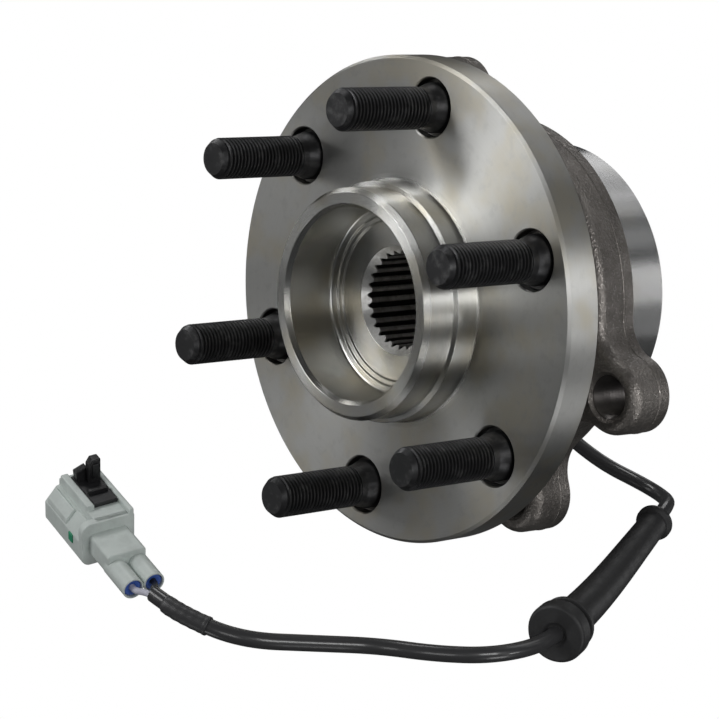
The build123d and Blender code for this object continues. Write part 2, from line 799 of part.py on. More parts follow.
# Rubber grommet: a tapered sleeve with a body grommet, a groove and a button at its front
grommet_corners = range(grommet_first_index + 1, grommet_last_index + 1)
grommet_points = [halfway(grommet_first_index)]
grommet_points += [Vector(*lead_route[corner]) for corner in grommet_corners]
grommet_points += [halfway(grommet_last_index)]
grommet_radii = [lead_radii[corner - 1] for corner in grommet_corners]
button_face = halfway(grommet_last_index)
button_way = run_way(grommet_last_index)
front_length = (
    grommet_button_length + grommet_groove_length + grommet_ring_length
)
with BuildPart() as cable_grommet:
    with BuildLine(mode=Mode.PRIVATE) as grommet_path:
        FilletPolyline(*grommet_points, radius=grommet_radii)
    grommet_wire = grommet_path.wires()[0]
    sleeve_share = 1 - front_length / grommet_wire.length
    for step in range(4):
        share = sleeve_share * step / 3
        ring_plane = Plane(origin=grommet_wire @ share, z_dir=grommet_wire % share)
        with BuildSketch(ring_plane):
            Circle(grommet_rear_r + (grommet_front_r - grommet_rear_r) * step / 3)
    loft()
    with BuildSketch(Plane(origin=grommet_points[0], z_dir=grommet_wire % 0)):
        Circle(grommet_collar_r)
    extrude(amount=grommet_collar_length)
    fillet(cable_grommet.edges().filter_by(GeomType.CIRCLE).sort_by(SortBy.RADIUS)[-2:], 0.6)
    reach = 0.0
    for disc_r, disc_length in (
        (grommet_button_r, grommet_button_length),
        (grommet_groove_r, grommet_groove_length),
        (grommet_ring_r, grommet_ring_length),
    ):
        with BuildSketch(Plane(origin=button_face - button_way * reach, z_dir=-button_way)):
            Circle(disc_r)
        extrude(amount=disc_length)
        reach += disc_length
    with BuildLine(mode=Mode.PRIVATE) as bore_path:
        FilletPolyline(*grommet_points, radius=grommet_radii)
    with BuildSketch(Plane(origin=grommet_points[0], z_dir=grommet_wire % 0)):
        Circle(lead_bore_r)
    sweep(path=bore_path.wires()[0], mode=Mode.SUBTRACT)
write(cable_grommet, "cable_grommet")

# Heat-shrink sleeve near the lead's end
with BuildPart() as heat_shrink_sleeve:
    with BuildLine():
        FilletPolyline(
            halfway(sleeve_index),
            Vector(*lead_route[sleeve_index + 1]),
            halfway(sleeve_index + 1),
            radius=[lead_radii[sleeve_index]],
        )
    with BuildSketch(Plane(origin=halfway(sleeve_index), z_dir=run_way(sleeve_index))):
        Circle(lead_bore_r + sleeve_wall)
        Circle(lead_bore_r, mode=Mode.SUBTRACT)
    sweep()
write(heat_shrink_sleeve, "heat_shrink_sleeve")

# ---- Connector -------------------------------------------------------------------------------
mating_way = Vector(*connector_mating).normalized()
level_side = Vector(0, 0, 1).cross(mating_way).normalized()
level_top = mating_way.cross(level_side)
roll = radians(connector_roll)
connector_axes = Plane(
    origin=connector_place,
    x_dir=level_side * cos(roll) - level_top * sin(roll),
    z_dir=mating_way,
)
shroud_start = wire_barrel_length + rear_block_length
mouth = shroud_start + shroud_length
socket_floor = mouth - socket_depth
barrel_spots = [(barrel_pitch / 2, 0), (-barrel_pitch / 2, 0)]

with BuildPart() as connector_housing:
    # Shroud, its left shoulder sloped under a raised pad
    with BuildSketch(connector_axes.offset(shroud_start)) as shroud_outline:
        with BuildLine():
            Polyline(
                (-shroud_half_width, shroud_bottom),
                (shroud_half_width, shroud_bottom),
                (shroud_half_width, shroud_shoulder),
                (shroud_top_left, shroud_top),
                (left_rail[1], shroud_top),
                (left_rail[1], rear_wall_top),
                (right_rail[0], rear_wall_top),
                (right_rail[0], shroud_shoulder),
                (-shroud_half_width, shroud_shoulder),
                close=True,
            )
        make_face()
        fillet(shroud_outline.vertices().sort_by(Axis.Y)[:2], 1.0)
    extrude(amount=shroud_length)
    slope = Vector(shroud_top - shroud_shoulder, shroud_half_width - shroud_top_left)
    pad_out = slope.normalized() * pad_proud
    with BuildSketch(connector_axes.offset(shroud_start + pad_span[0])):
        with BuildLine():
            Polyline(
                (shroud_top_left, shroud_top),
                (shroud_top_left + pad_out.X, shroud_top + pad_out.Y),
                (shroud_half_width + pad_out.X - 0.8, shroud_shoulder + pad_out.Y + 0.9),
                (shroud_half_width - 0.2, shroud_shoulder),
                (shroud_top_left, shroud_shoulder),
                close=True,
            )
        make_face()
    extrude(amount=pad_span[1] - pad_span[0])
    # Rear wall and the two rails
    with BuildSketch(connector_axes.offset(shroud_start)) as wall_outline:
        with Locations((0, (rear_wall_top + rear_wall_bottom) / 2)):
            RectangleRounded(
                2 * rear_wall_half_width, rear_wall_top - rear_wall_bottom, rear_wall_round
            )
    extrude(amount=rear_wall_thickness)
    for rail, setback in ((left_rail, left_rail_setback), (right_rail, 0.0)):
        with BuildSketch(connector_axes.offset(shroud_start + setback)):
            with Locations(((rail[0] + rail[1]) / 2, (shroud_top + rail_top) / 2)):
                Rectangle(rail[1] - rail[0], rail_top - shroud_top)
        extrude(amount=shroud_length - setback - 0.8)
    # Rear block and wire barrels
    with BuildSketch(connector_axes.offset(wire_barrel_length)) as block_outline:
        with Locations((0, (rear_block_top + rear_block_bottom) / 2)):
            Rectangle(2 * rear_block_half_width, rear_block_top - rear_block_bottom)
        fillet(block_outline.vertices().sort_by(Axis.Y)[2:], 1.0)
        fillet(block_outline.vertices().sort_by(Axis.Y)[:2], 2.5)
    extrude(amount=rear_block_length)
    with BuildSketch(connector_axes):
        with Locations(*barrel_spots):
            Circle(wire_barrel_r)
    extrude(amount=wire_barrel_length + 1)
    # Bores for the wire seals, crimps and pins
    with BuildSketch(connector_axes):
        with Locations(*barrel_spots):
            Circle(wire_barrel_bore_r)
    extrude(amount=wire_end, mode=Mode.SUBTRACT)
    with BuildSketch(connector_axes.offset(wire_end)):
        with Locations(*barrel_spots):
            Circle(crimp_r)
    extrude(amount=rear_block_length, mode=Mode.SUBTRACT)
    with BuildSketch(connector_axes.offset(wire_end)):
        with Locations(*barrel_spots):
            Rectangle(2 * pin_half_width, 2 * pin_half_thickness)
    extrude(amount=mouth - wire_end, mode=Mode.SUBTRACT)
    # Socket
    with BuildSketch(connector_axes.offset(socket_floor)):
        with Locations((0, socket_lift)):
            RectangleRounded(2 * socket_half_width, socket_height, 1.5)
    extrude(amount=socket_depth, mode=Mode.SUBTRACT)
    # Pocket for the terminal retainer
    retainer_x = shroud_half_width - retainer_size[0] / 2 + 0.4
    retainer_plane = connector_axes.offset(retainer_place)
    with BuildSketch(retainer_plane):
        with Locations((retainer_x, 0)):
            Rectangle(retainer_size[0], retainer_size[1])
    extrude(amount=retainer_size[2], mode=Mode.SUBTRACT)
write(connector_housing, "connector_housing")

with BuildPart() as terminal_retainer:
    with BuildSketch(retainer_plane):
        with Locations((retainer_x, 0)):
            Rectangle(retainer_size[0], retainer_size[1])
    extrude(amount=retainer_size[2])
write(terminal_retainer, "terminal_retainer")

# Two terminals, each a crimp barrel with its pin
with BuildPart() as connector_terminals:
    with BuildSketch(connector_axes.offset(wire_end)):
        with Locations(*barrel_spots):
            Circle(crimp_r)
    extrude(amount=rear_block_length)
    with BuildSketch(connector_axes.offset(wire_end)):
        with Locations(*barrel_spots):
            Rectangle(2 * pin_half_width, 2 * pin_half_thickness)
    extrude(amount=mouth - pin_setback - wire_end)
write(connector_terminals, "connector_terminals")

# Wire seals in the barrels
with BuildPart() as wire_seals:
    with BuildSketch(connector_axes.offset(wire_seal_inset)):
        with Locations(*barrel_spots):
            Circle(wire_barrel_bore_r)
            Circle(wire_r + lead_clearance, mode=Mode.SUBTRACT)
    extrude(amount=wire_seal_length)
write(wire_seals, "wire_seals")

# Mounting clip that slides between the rails
clip_sides = (right_rail[1] + clip_clearance, left_rail[0] - clip_clearance)
clip_middle = (clip_sides[0] + clip_sides[1]) / 2
clip_width = clip_sides[1] - clip_sides[0]
with BuildPart() as rail_clip:
    with BuildSketch(connector_axes.offset(shroud_start + clip_span[0])):
        with Locations((clip_middle, rear_wall_top + clip_thickness / 2)):
            Rectangle(clip_width, clip_thickness)
    extrude(amount=clip_span[1] - clip_span[0])
    with BuildSketch(connector_axes.offset(shroud_start + clip_bar_place)):
        with Locations((clip_middle, rear_wall_top + clip_thickness)):
            Rectangle(clip_width - 1.2, 2 * clip_thickness)
    extrude(amount=1.4)
    for (sides, top, thickness), place in (
        (clip_mast, clip_mast_place),
        (clip_wing, clip_wing_place),
    ):
        with BuildSketch(connector_axes.offset(shroud_start + place)):
            with Locations(((sides[0] + sides[1]) / 2, (rear_wall_top + top) / 2)):
                Rectangle(sides[1] - sides[0], top - rear_wall_top)
        extrude(amount=thickness)
write(rail_clip, "rail_clip")

# Signal wires, from the jacket's end into the crimps
jacket_end = Vector(*lead_route[-1])
jacket_way = run_way(len(lead_route) - 2)
jacket_side = (
    connector_axes.x_dir - jacket_way * connector_axes.x_dir.dot(jacket_way)
).normalized()
for wire_name, side in (("white", 1), ("black", -1)):
    wire_start = jacket_end + jacket_side * side * wire_spread
    bore_mouth = Vector(*connector_place) + connector_axes.x_dir * side * barrel_pitch / 2
    wire_route = [
        wire_start,
        wire_start + jacket_way * wire_lead_out,
        bore_mouth - mating_way * wire_lead_in,
        bore_mouth + mating_way * wire_end,
    ]
    with BuildPart() as wire:
        with BuildLine():
            FilletPolyline(*wire_route, radius=list(wire_bend_radii))
        with BuildSketch(Plane(origin=wire_start, z_dir=jacket_way)):
            Circle(wire_r)
        sweep()
    write(wire, f"wire_{wire_name}")
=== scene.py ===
"""Wheel hub bearing with its wheel speed sensor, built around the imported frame.

Lengths in the geometry classes are millimetres in the row frame: the axle lies along Y, the wheel
side is -Y and +Z is up. Meshes are turned into metres once, when a piece is finished.
"""

from __future__ import annotations

import logging
import math
from dataclasses import dataclass, replace
from enum import Enum
from typing import Callable, Iterable, Sequence

import bmesh
import bpy
from mathutils import Matrix, Vector

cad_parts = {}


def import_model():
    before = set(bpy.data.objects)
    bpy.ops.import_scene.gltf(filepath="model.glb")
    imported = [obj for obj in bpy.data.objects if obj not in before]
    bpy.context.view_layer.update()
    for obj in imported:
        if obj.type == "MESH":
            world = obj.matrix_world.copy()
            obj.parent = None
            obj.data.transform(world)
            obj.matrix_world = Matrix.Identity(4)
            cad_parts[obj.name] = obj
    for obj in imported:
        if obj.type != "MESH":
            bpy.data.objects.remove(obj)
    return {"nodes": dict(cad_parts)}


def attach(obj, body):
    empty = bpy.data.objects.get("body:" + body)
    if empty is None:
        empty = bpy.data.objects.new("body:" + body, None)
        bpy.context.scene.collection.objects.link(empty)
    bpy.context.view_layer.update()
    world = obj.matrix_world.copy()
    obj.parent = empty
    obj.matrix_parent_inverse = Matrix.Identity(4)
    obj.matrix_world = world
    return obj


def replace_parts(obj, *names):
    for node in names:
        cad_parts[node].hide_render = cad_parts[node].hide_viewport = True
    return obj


LOG = logging.getLogger("hub_scene")
METRES = 0.001
TAU = 2.0 * math.pi
COAT_ROUGHNESS = 0.12
STRAIGHT = 1.54  # half of a corner's angle, in radians, from which it counts as straight
ROUNDING_SHARE = 0.48  # the most that a rounding may take of the shorter side at its corner

Point2 = tuple[float, float]
Rgb = tuple[float, float, float]


class Body(Enum):
    """The frame's bodies that new pieces ride on."""

    HUB = "hub"
    RING = "ring"


# ---------------------------------------------------------------------------------------------
# Shading
# ---------------------------------------------------------------------------------------------
class Graph:
    """A material's or world's node tree, cleared and ready to build."""

    def __init__(self, tree: bpy.types.NodeTree) -> None:
        """Args: tree: the node tree to fill. Its nodes are removed."""
        self.tree = tree
        tree.nodes.clear()

    def node(self, kind: str, **settings: object) -> bpy.types.Node:
        """Adds one node.

        Args:
            kind: the node's type name, without the leading "ShaderNode".
            settings: attributes to set on it.
        Returns:
            The node.
        """
        made = self.tree.nodes.new("ShaderNode" + kind)
        for name, value in settings.items():
            setattr(made, name, value)
        return made

    def feed(self, socket: bpy.types.NodeSocket, value: "Signal | float | Sequence[float]") -> None:
        """Links a signal to a socket, or sets the socket's own constant."""
        if isinstance(value, Signal):
            self.tree.links.new(value.socket, socket)
        else:
            socket.default_value = value

    def apply(self, kind: str, *inputs: object, **settings: object) -> "Signal":
        """Adds a node and feeds its first inputs in order.

        Args:
            kind: the node's type name, without the leading "ShaderNode".
            inputs: a value or signal for each input; None leaves an input as it is.
            settings: attributes to set on the node.
        Returns:
            The node's first output.
        """
        made = self.node(kind, **settings)
        for socket, value in zip(made.inputs, inputs):
            if value is not None:
                self.feed(socket, value)
        return Signal(self, made.outputs[0])

    def position(self) -> "Signal":
        """Object coordinates: the row frame at rest, in metres."""
        return Signal(self, self.node("TexCoord").outputs["Object"])

    def noise(
        self, at: "Signal", scale: float, detail: float = 3.0, roughness: float = 0.55
    ) -> "Signal":
        """Fractal noise about 0.5.

        Args:
            at: where it is sampled.
            scale: blotches to a metre.
            detail: octaves.
            roughness: strength of each octave in the one before.
        Returns:
            The noise.
        """
        made = self.node("TexNoise")
        self.feed(made.inputs["Vector"], at)
        made.inputs["Scale"].default_value = scale
        made.inputs["Detail"].default_value = detail
        made.inputs["Roughness"].default_value = roughness
        return Signal(self, made.outputs[0])

    def blend(self, share: "Signal | float", low: object, high: object) -> "Signal":
        """Mixes two colours by a share from 0 to 1."""
        made = self.node("Mix", data_type="RGBA", clamp_factor=True)
        colours = [s for s in made.inputs if s.type == "RGBA"]
        self.feed(made.inputs[0], share)
        for socket, value in zip(colours, (low, high)):
            self.feed(socket, value if isinstance(value, Signal) else (*value, 1.0))
        return Signal(self, next(s for s in made.outputs if s.type == "RGBA"))

    def bump(self, height: "Signal", distance: float, strength: float = 1.0) -> "Signal":
        """A bumped normal from a height signal; distance is in metres."""
        made = self.node("Bump")
        made.inputs["Strength"].default_value = strength
        made.inputs["Distance"].default_value = distance
        self.feed(made.inputs["Height"], height)
        return Signal(self, made.outputs[0])


class Signal:
    """A shader socket that takes part in arithmetic."""

    def __init__(self, graph: Graph, socket: bpy.types.NodeSocket) -> None:
        """Args: graph: the tree it belongs to. socket: the output it stands for."""
        self.graph = graph
        self.socket = socket

    def _math(self, operation: str, *others: "Signal | float") -> "Signal":
        """A scalar operation on this signal."""
        return self.graph.apply("Math", self, *others, operation=operation)

    def __add__(self, other: "Signal | float") -> "Signal":
        """The sum with a signal or number."""
        return self._math("ADD", other)

    def __mul__(self, other: "Signal | float") -> "Signal":
        """The product with a signal or number."""
        return self._math("MULTIPLY", other)

    def hypot(self, other: "Signal") -> "Signal":
        """Length of the vector of two signals."""
        return (self * self + other * other)._math("SQRT")

    def ramp(self, low: float, high: float, to_low: float = 0.0, to_high: float = 1.0) -> "Signal":
        """Maps low..high onto to_low..to_high, clamped, with eased ends."""
        return self.graph.apply(
            "MapRange", self, low, high, to_low, to_high, interpolation_type="SMOOTHSTEP"
        )

    def parts(self) -> tuple["Signal", "Signal", "Signal"]:
        """The x, y and z of a vector signal."""
        made = self.graph.node("SeparateXYZ")
        self.graph.feed(made.inputs[0], self)
        return tuple(Signal(self.graph, s) for s in made.outputs)

    def vector(self, operation: str, *others: object) -> "Signal":
        """A vector operation on this signal."""
        return self.graph.apply("VectorMath", self, *others, operation=operation)


@dataclass(frozen=True)
class Surface:
    """What one look varies on the principled shader."""

    colour: "Signal | Rgb"
    roughness: "Signal | float"
    metallic: "Signal | float" = 0.0
    normals: "tuple[Signal, ...]" = ()
    coat: float = 0.0


@dataclass(frozen=True)
class Finish:
    """A named look, matched to one of the record's material slots."""

    name: str
    slot: str
    paint: Callable[[Graph], Surface]

    def material(self) -> bpy.types.Material:
        """Builds the material once, with one shader for each of the surface's normals.

        Returns:
            The material.
        """
        found = bpy.data.materials.get(self.name)
        if found:
            return found
        made = bpy.data.materials.new(self.name)
        made.use_nodes = True
        graph = Graph(made.node_tree)
        surface = self.paint(graph)
        output = None
        for count, normal in enumerate(surface.normals or (None,), 1):
            shader = self.coating(graph, surface, normal)
            if output is None:
                output = shader
                continue
            mix = graph.node("MixShader")
            mix.inputs[0].default_value = 1.0 / count
            graph.tree.links.new(output, mix.inputs[1])
            graph.tree.links.new(shader, mix.inputs[2])
            output = mix.outputs[0]
        graph.tree.links.new(output, graph.node("OutputMaterial").inputs["Surface"])
        return made

    @staticmethod
    def coating(graph: Graph, surface: Surface, normal: "Signal | None") -> bpy.types.NodeSocket:
        """A principled shader of the surface that faces along a normal.

        Args:
            graph: the material's tree.
            surface: what the look varies.
            normal: the shading normal, or None for the mesh's own.
        Returns:
            The shader's output.
        """
        shader = graph.node("BsdfPrincipled")
        colour = surface.colour
        graph.feed(
            shader.inputs["Base Color"], colour if isinstance(colour, Signal) else (*colour, 1.0)
        )
        graph.feed(shader.inputs["Roughness"], surface.roughness)
        graph.feed(shader.inputs["Metallic"], surface.metallic)
        shader.inputs["Coat Weight"].default_value = surface.coat
        shader.inputs["Coat Roughness"].default_value = COAT_ROUGHNESS
        if normal is not None:
            graph.feed(shader.inputs["Normal"], normal)
        return shader.outputs[0]


def turned_normals(graph: Graph, at: Signal, tilt: float) -> tuple[Signal, ...]:
    """The shading normals of a surface that a lathe tool has left finely grooved.

    The grooves run round the axle and are finer than any picture shows. Their flanks tip towards
    and away from the axle on faces and along it on cylinders, so a highlight spreads across the
    grooves only.

    Args:
        graph: the material's tree.
        at: object coordinates.
        tilt: slope of a groove's flank.
    Returns:
        The normals from one flank over the land between to the other flank.
    """
    outward = at.vector("MULTIPLY", (1.0, 0.0, 1.0)).vector("NORMALIZE")
    geometry = Signal(graph, graph.node("NewGeometry").outputs["Normal"])
    return tuple(
        geometry.vector("ADD", outward.vector("SCALE", None, None, lean))
        .vector("ADD", (0.0, lean, 0.0))
        .vector("NORMALIZE")
        for lean in (tilt * share / 3.0 for share in range(-3, 4))
    )


def turned_steel(
    base: Rgb, roughness: float, tilt: float, stain: float
) -> Callable[[Graph], Surface]:
    """Lathe-turned bare steel, slightly mottled by handling.

    Args:
        base: the clean steel's colour.
        roughness: the clean steel's roughness.
        tilt: slope of the grooves' flanks.
        stain: strength of the mottling.
    Returns:
        The paint.
    """

    def paint(graph: Graph) -> Surface:
        """The steel on a material's tree."""
        at = graph.position()
        x, y, z = at.parts()
        radius = x.hypot(z)
        rings = graph.noise(graph.apply("CombineXYZ", radius, y, 0.0), 1600.0, 3.0)
        blotches = graph.noise(at, 60.0, 2.5, 0.6)
        specks = graph.noise(at, 300.0, 3.0, 0.6)
        warm = tuple(c * f for c, f in zip(base, (0.97, 0.92, 0.81)))
        dark = tuple(c * 0.8 for c in base)
        colour = graph.blend(blotches.ramp(0.42, 0.68, 0.0, stain), base, warm)
        colour = graph.blend(specks.ramp(0.52, 0.72, 0.0, 0.4 * stain), colour, dark)
        colour = graph.blend(rings.ramp(0.3, 0.7, 0.0, 0.12), colour, dark)
        rough = blotches.ramp(0.3, 0.85, roughness, roughness * (1.0 + 0.15 * stain))
        return Surface(colour, rough, 1.0, turned_normals(graph, at, tilt))

    return paint


def forged_steel(graph: Graph) -> Surface:
    """Shot-blasted, oiled forging: dark, grainy and slightly glossy.

    Args:
        graph: the material's tree.
    Returns:
        The surface.
    """
    at = graph.position()
    broad = graph.noise(at, 90.0, 4.0, 0.6)
    grain = graph.noise(at, 1300.0, 2.0, 0.5)
    colour = graph.blend(broad.ramp(0.35, 0.7), (0.2, 0.184, 0.17), (0.32, 0.297, 0.277))
    colour = graph.blend(grain.ramp(0.56, 0.72, 0.0, 0.5), colour, (0.46, 0.435, 0.41))
    rough = grain.ramp(0.35, 0.7, 0.5, 0.32)
    normal = graph.bump(grain + broad * 0.5, 0.0003, 0.8)
    return Surface(colour, rough, 0.85, (normal,))


def blackened_steel(graph: Graph) -> Surface:
    """Black oxide under a film of oil."""
    at = graph.position()
    wear = graph.noise(at, 300.0, 4.0, 0.6)
    colour = graph.blend(wear.ramp(0.5, 0.8), (0.053, 0.053, 0.055), (0.135, 0.135, 0.135))
    normal = graph.bump(wear, 0.00005, 0.4)
    return Surface(colour, wear.ramp(0.3, 0.7, 0.34, 0.48), 0.8, (normal,))


def flange_steel(graph: Graph) -> Surface:
    """The hub's turned steel: finer on the pilot and in the cup, with painted shade in the stud
    recesses.

    Args:
        graph: the material's tree.
    Returns:
        The surface.
    """
    worked = turned_steel((0.6, 0.6, 0.58), 0.29, 0.34, 1.0)(graph)
    x, y, z = graph.position().parts()
    radius = x.hypot(z)
    # Painted shade: the stud recesses and holes, inside the flange between radii 45 and 67 mm, are
    # blended almost to black for the shade in them.
    sunk = y.ramp(-0.0439, -0.0432) * y.ramp(-0.0342, -0.0335, 1.0, 0.0)
    recess_painted_shade = sunk * radius.ramp(0.045, 0.047) * radius.ramp(0.0668, 0.0672, 1.0, 0.0)
    colour = graph.blend(recess_painted_shade * 0.85, worked.colour, (0.05, 0.05, 0.05))
    fine = radius.ramp(0.0346, 0.0362, 0.8, 1.0)
    return replace(worked, colour=colour, roughness=worked.roughness * fine)


def splined_steel(graph: Graph) -> Surface:
    """Broached teeth: worn bright on their lands, with painted shade and oil darkening the spaces
    between.

    Args:
        graph: the material's tree.
    Returns:
        The surface.
    """
    at = graph.position()
    x, y, z = at.parts()
    radius = x.hypot(z)
    stain = graph.noise(at, 240.0, 4.0, 0.6)
    land = graph.blend(stain.ramp(0.4, 0.7), (0.75, 0.75, 0.73), (0.5, 0.49, 0.47))
    # Painted shade, with oil: the spaces between the teeth, deeper than their chamfered front, are
    # blended almost to black.
    past_front_shade_zone = (y + radius * 0.95).ramp(-0.0282, -0.0274)
    colour = graph.blend(radius.ramp(0.0135, 0.0139) * past_front_shade_zone, land, (0.03, 0.029, 0.028))
    return Surface(colour, stain.ramp(0.3, 0.7, 0.29, 0.42), 0.9)


def plain(
    base: Rgb, roughness: float, metallic: float = 0.0, grain: float = 0.0, coat: float = 0.0
) -> Callable[[Graph], Surface]:
    """An even moulded or ground material with a little surface grain.

    Args:
        base: its colour.
        roughness: its mean roughness.
        metallic: 1 for a metal.
        grain: depth of the surface grain, in metres.
        coat: weight of a glossy skin.
    Returns:
        The paint.
    """

    def paint(graph: Graph) -> Surface:
        """The material on a tree."""
        at = graph.position()
        mottle = graph.noise(at, 260.0, 3.0)
        darker = tuple(c * 0.88 for c in base)
        colour = graph.blend(mottle.ramp(0.35, 0.75), base, darker)
        normals = (graph.bump(graph.noise(at, 1500.0, 2.0), grain, 0.5),) if grain else ()
        return Surface(
            colour, mottle.ramp(0.3, 0.7, roughness * 0.9, roughness * 1.1), metallic, normals, coat
        )

    return paint


class Finishes:
    """Every look that the object wears."""

    TURNED = Finish("turned steel", "turned_steel", flange_steel)
    SPLINE = Finish("broached steel", "turned_steel", splined_steel)
    SPIGOT = Finish("turned spigot", "forged_steel", turned_steel((0.8, 0.8, 0.8), 0.2, 0.2, 0.3))
    FORGED = Finish("forged steel", "forged_steel", forged_steel)
    # Painted shade, with oil: the tapped bores are coloured darker than the forging around them.
    SHADED_TAPPED = Finish("shaded tapped steel", "forged_steel", plain((0.15, 0.14, 0.135), 0.34, 0.9))
    BLACK_OXIDE = Finish("black oxide", "black_oxide_steel", blackened_steel)
    BEARING = Finish("ground bearing steel", "bearing_steel", plain((0.6, 0.6, 0.6), 0.2, 1.0))
    BALL = Finish("polished balls", "ball_steel", plain((0.78, 0.78, 0.8), 0.06, 1.0))
    CAGE = Finish("cage polyamide", "cage_polyamide", plain((0.62, 0.56, 0.42), 0.45, 0.0, 0.00002))
    SHEET = Finish("pressed sheet", "pressed_sheet", plain((0.5, 0.5, 0.5), 0.3, 1.0))
    SEAL = Finish("seal rubber", "seal_rubber", plain((0.02, 0.02, 0.02), 0.5))
    ENCODER = Finish("encoder rubber", "encoder_rubber", plain((0.03, 0.027, 0.025), 0.55))
    BLACK_PLASTIC = Finish(
        "black plastic", "black_plastic", plain((0.012, 0.012, 0.013), 0.36, 0.0, 0.00002)
    )
    JACKET = Finish(
        "cable jacket", "cable_jacket", plain((0.045, 0.045, 0.047), 0.34, 0.0, 0.00003, 0.5)
    )
    GROMMET = Finish(
        "grommet rubber", "grommet_rubber", plain((0.028, 0.028, 0.029), 0.5, 0.0, 0.00005)
    )
    SHRINK = Finish(
        "shrink sleeve", "shrink_sleeve", plain((0.046, 0.046, 0.048), 0.42, 0.0, 0.00003)
    )
    WHITE_WIRE = Finish("white insulation", "white_insulation", plain((0.62, 0.62, 0.72), 0.4))
    BLACK_WIRE = Finish("black insulation", "black_insulation", plain((0.02, 0.02, 0.02), 0.4))
    BLUE = Finish("blue silicone", "blue_silicone", plain((0.05, 0.12, 0.46), 0.4))
    GREY_PLASTIC = Finish(
        "grey plastic", "grey_plastic", plain((0.66, 0.72, 0.69), 0.4, 0.0, 0.00003)
    )
    TERMINAL = Finish("tinned brass", "tinned_brass", plain((0.7, 0.68, 0.62), 0.25, 1.0))
    GREEN = Finish("green plastic", "green_plastic", plain((0.03, 0.33, 0.17), 0.4))


# ---------------------------------------------------------------------------------------------
# Mesh building
# ---------------------------------------------------------------------------------------------
@dataclass(frozen=True)
class Corner:
    """A corner of an outline, blended by an arc of the given radius."""

    u: float
    v: float
    blend: float = 0.0


def outline(corners: Iterable["Corner | tuple[float, ...]"], steps: int = 4) -> list[Point2]:
    """A closed outline with its corners rounded.

    Args:
        corners: the corners in order, as Corner or as a (u, v) or (u, v, blend) tuple.
        steps: segments of each rounding arc.
    Returns:
        The outline's points.
    """
    marks = [c if isinstance(c, Corner) else Corner(*c) for c in corners]
    points: list[Point2] = []
    for before, here, after in zip(marks[-1:] + marks[:-1], marks, marks[1:] + marks[:1]):
        spot = Vector((here.u, here.v))
        back, ahead = Vector((before.u, before.v)) - spot, Vector((after.u, after.v)) - spot
        if here.blend <= 0.0 or back.length < 1e-6 or ahead.length < 1e-6:
            points.append((here.u, here.v))
            continue
        half = back.angle(ahead) / 2.0
        if half > STRAIGHT:
            points.append((here.u, here.v))
            continue
        room = ROUNDING_SHARE * min(back.length, ahead.length)
        reach = min(here.blend / math.tan(half), room)
        radius = reach * math.tan(half)
        start, end = spot + back.normalized() * reach, spot + ahead.normalized() * reach
        centre = spot + (back.normalized() + ahead.normalized()).normalized() * (
            radius / math.sin(half)
        )
        first, last = start - centre, end - centre
        sweep = first.angle_signed(last)
        for step in range(steps + 1):
            arm = first.copy()
            arm.rotate(Matrix.Rotation(-sweep * step / steps, 2))
            points.append((centre.x + arm.x, centre.y + arm.y))
    return points


class Line:
    """A centreline measured by the distance along it."""

    def __init__(self, points: Sequence[Vector]) -> None:
        """Args: points: its points in order, in millimetres."""
        self.points = list(points)
        self.along = [0.0]
        for here, there in zip(self.points, self.points[1:]):
            self.along.append(self.along[-1] + (there - here).length)

    @property
    def length(self) -> float:
        """The whole distance along it."""
        return self.along[-1]

    def at(self, distance: float) -> tuple[Vector, Vector]:
        """The point and the direction at a distance, also a little beyond either end.

        Args:
            distance: how far along the line, in millimetres.
        Returns:
            The point and the unit direction there.
        """
        last = len(self.points) - 1
        k = next((n for n in range(1, last) if self.along[n] >= distance), last)
        here, there = self.points[k - 1], self.points[k]
        share = (distance - self.along[k - 1]) / (self.along[k] - self.along[k - 1])
        way = (there - here).normalized()
        before = (here - self.points[k - 2]).normalized() if k > 1 else way
        after = (self.points[k + 1] - there).normalized() if k < last else way
        start, end = (before + way).normalized(), (way + after).normalized()
        blend = start.lerp(end, min(max(share, 0.0), 1.0)).normalized()
        return here.lerp(there, share), blend


def groove(
    pitch_r: float, station: float, radius: float, start: Point2, stop: Point2, steps: int = 8
) -> list[Point2]:
    """A ball groove's arc in (radius, station), between two points on it.

    Args:
        pitch_r: the ball centres' distance from the axle.
        station: the ball row's station.
        radius: the groove's own radius.
        start: the arc's first point.
        stop: its last point.
        steps: segments.
    Returns:
        The points.
    """
    first = math.atan2(start[1] - station, start[0] - pitch_r) % TAU
    last = math.atan2(stop[1] - station, stop[0] - pitch_r) % TAU
    turn = (last - first + math.pi) % TAU - math.pi
    return [
        (
            pitch_r + radius * math.cos(first + turn * k / steps),
            station + radius * math.sin(first + turn * k / steps),
        )
        for k in range(steps + 1)
    ]


def rounded_box(x: Point2, y: Point2, corner: float, steps: int) -> list[Point2]:
    """The outline of a rectangle from its ranges in x and y, with rounded corners."""
    marks = [(x[0], y[0]), (x[1], y[0]), (x[1], y[1]), (x[0], y[1])]
    return outline([(*mark, corner) for mark in marks], steps)


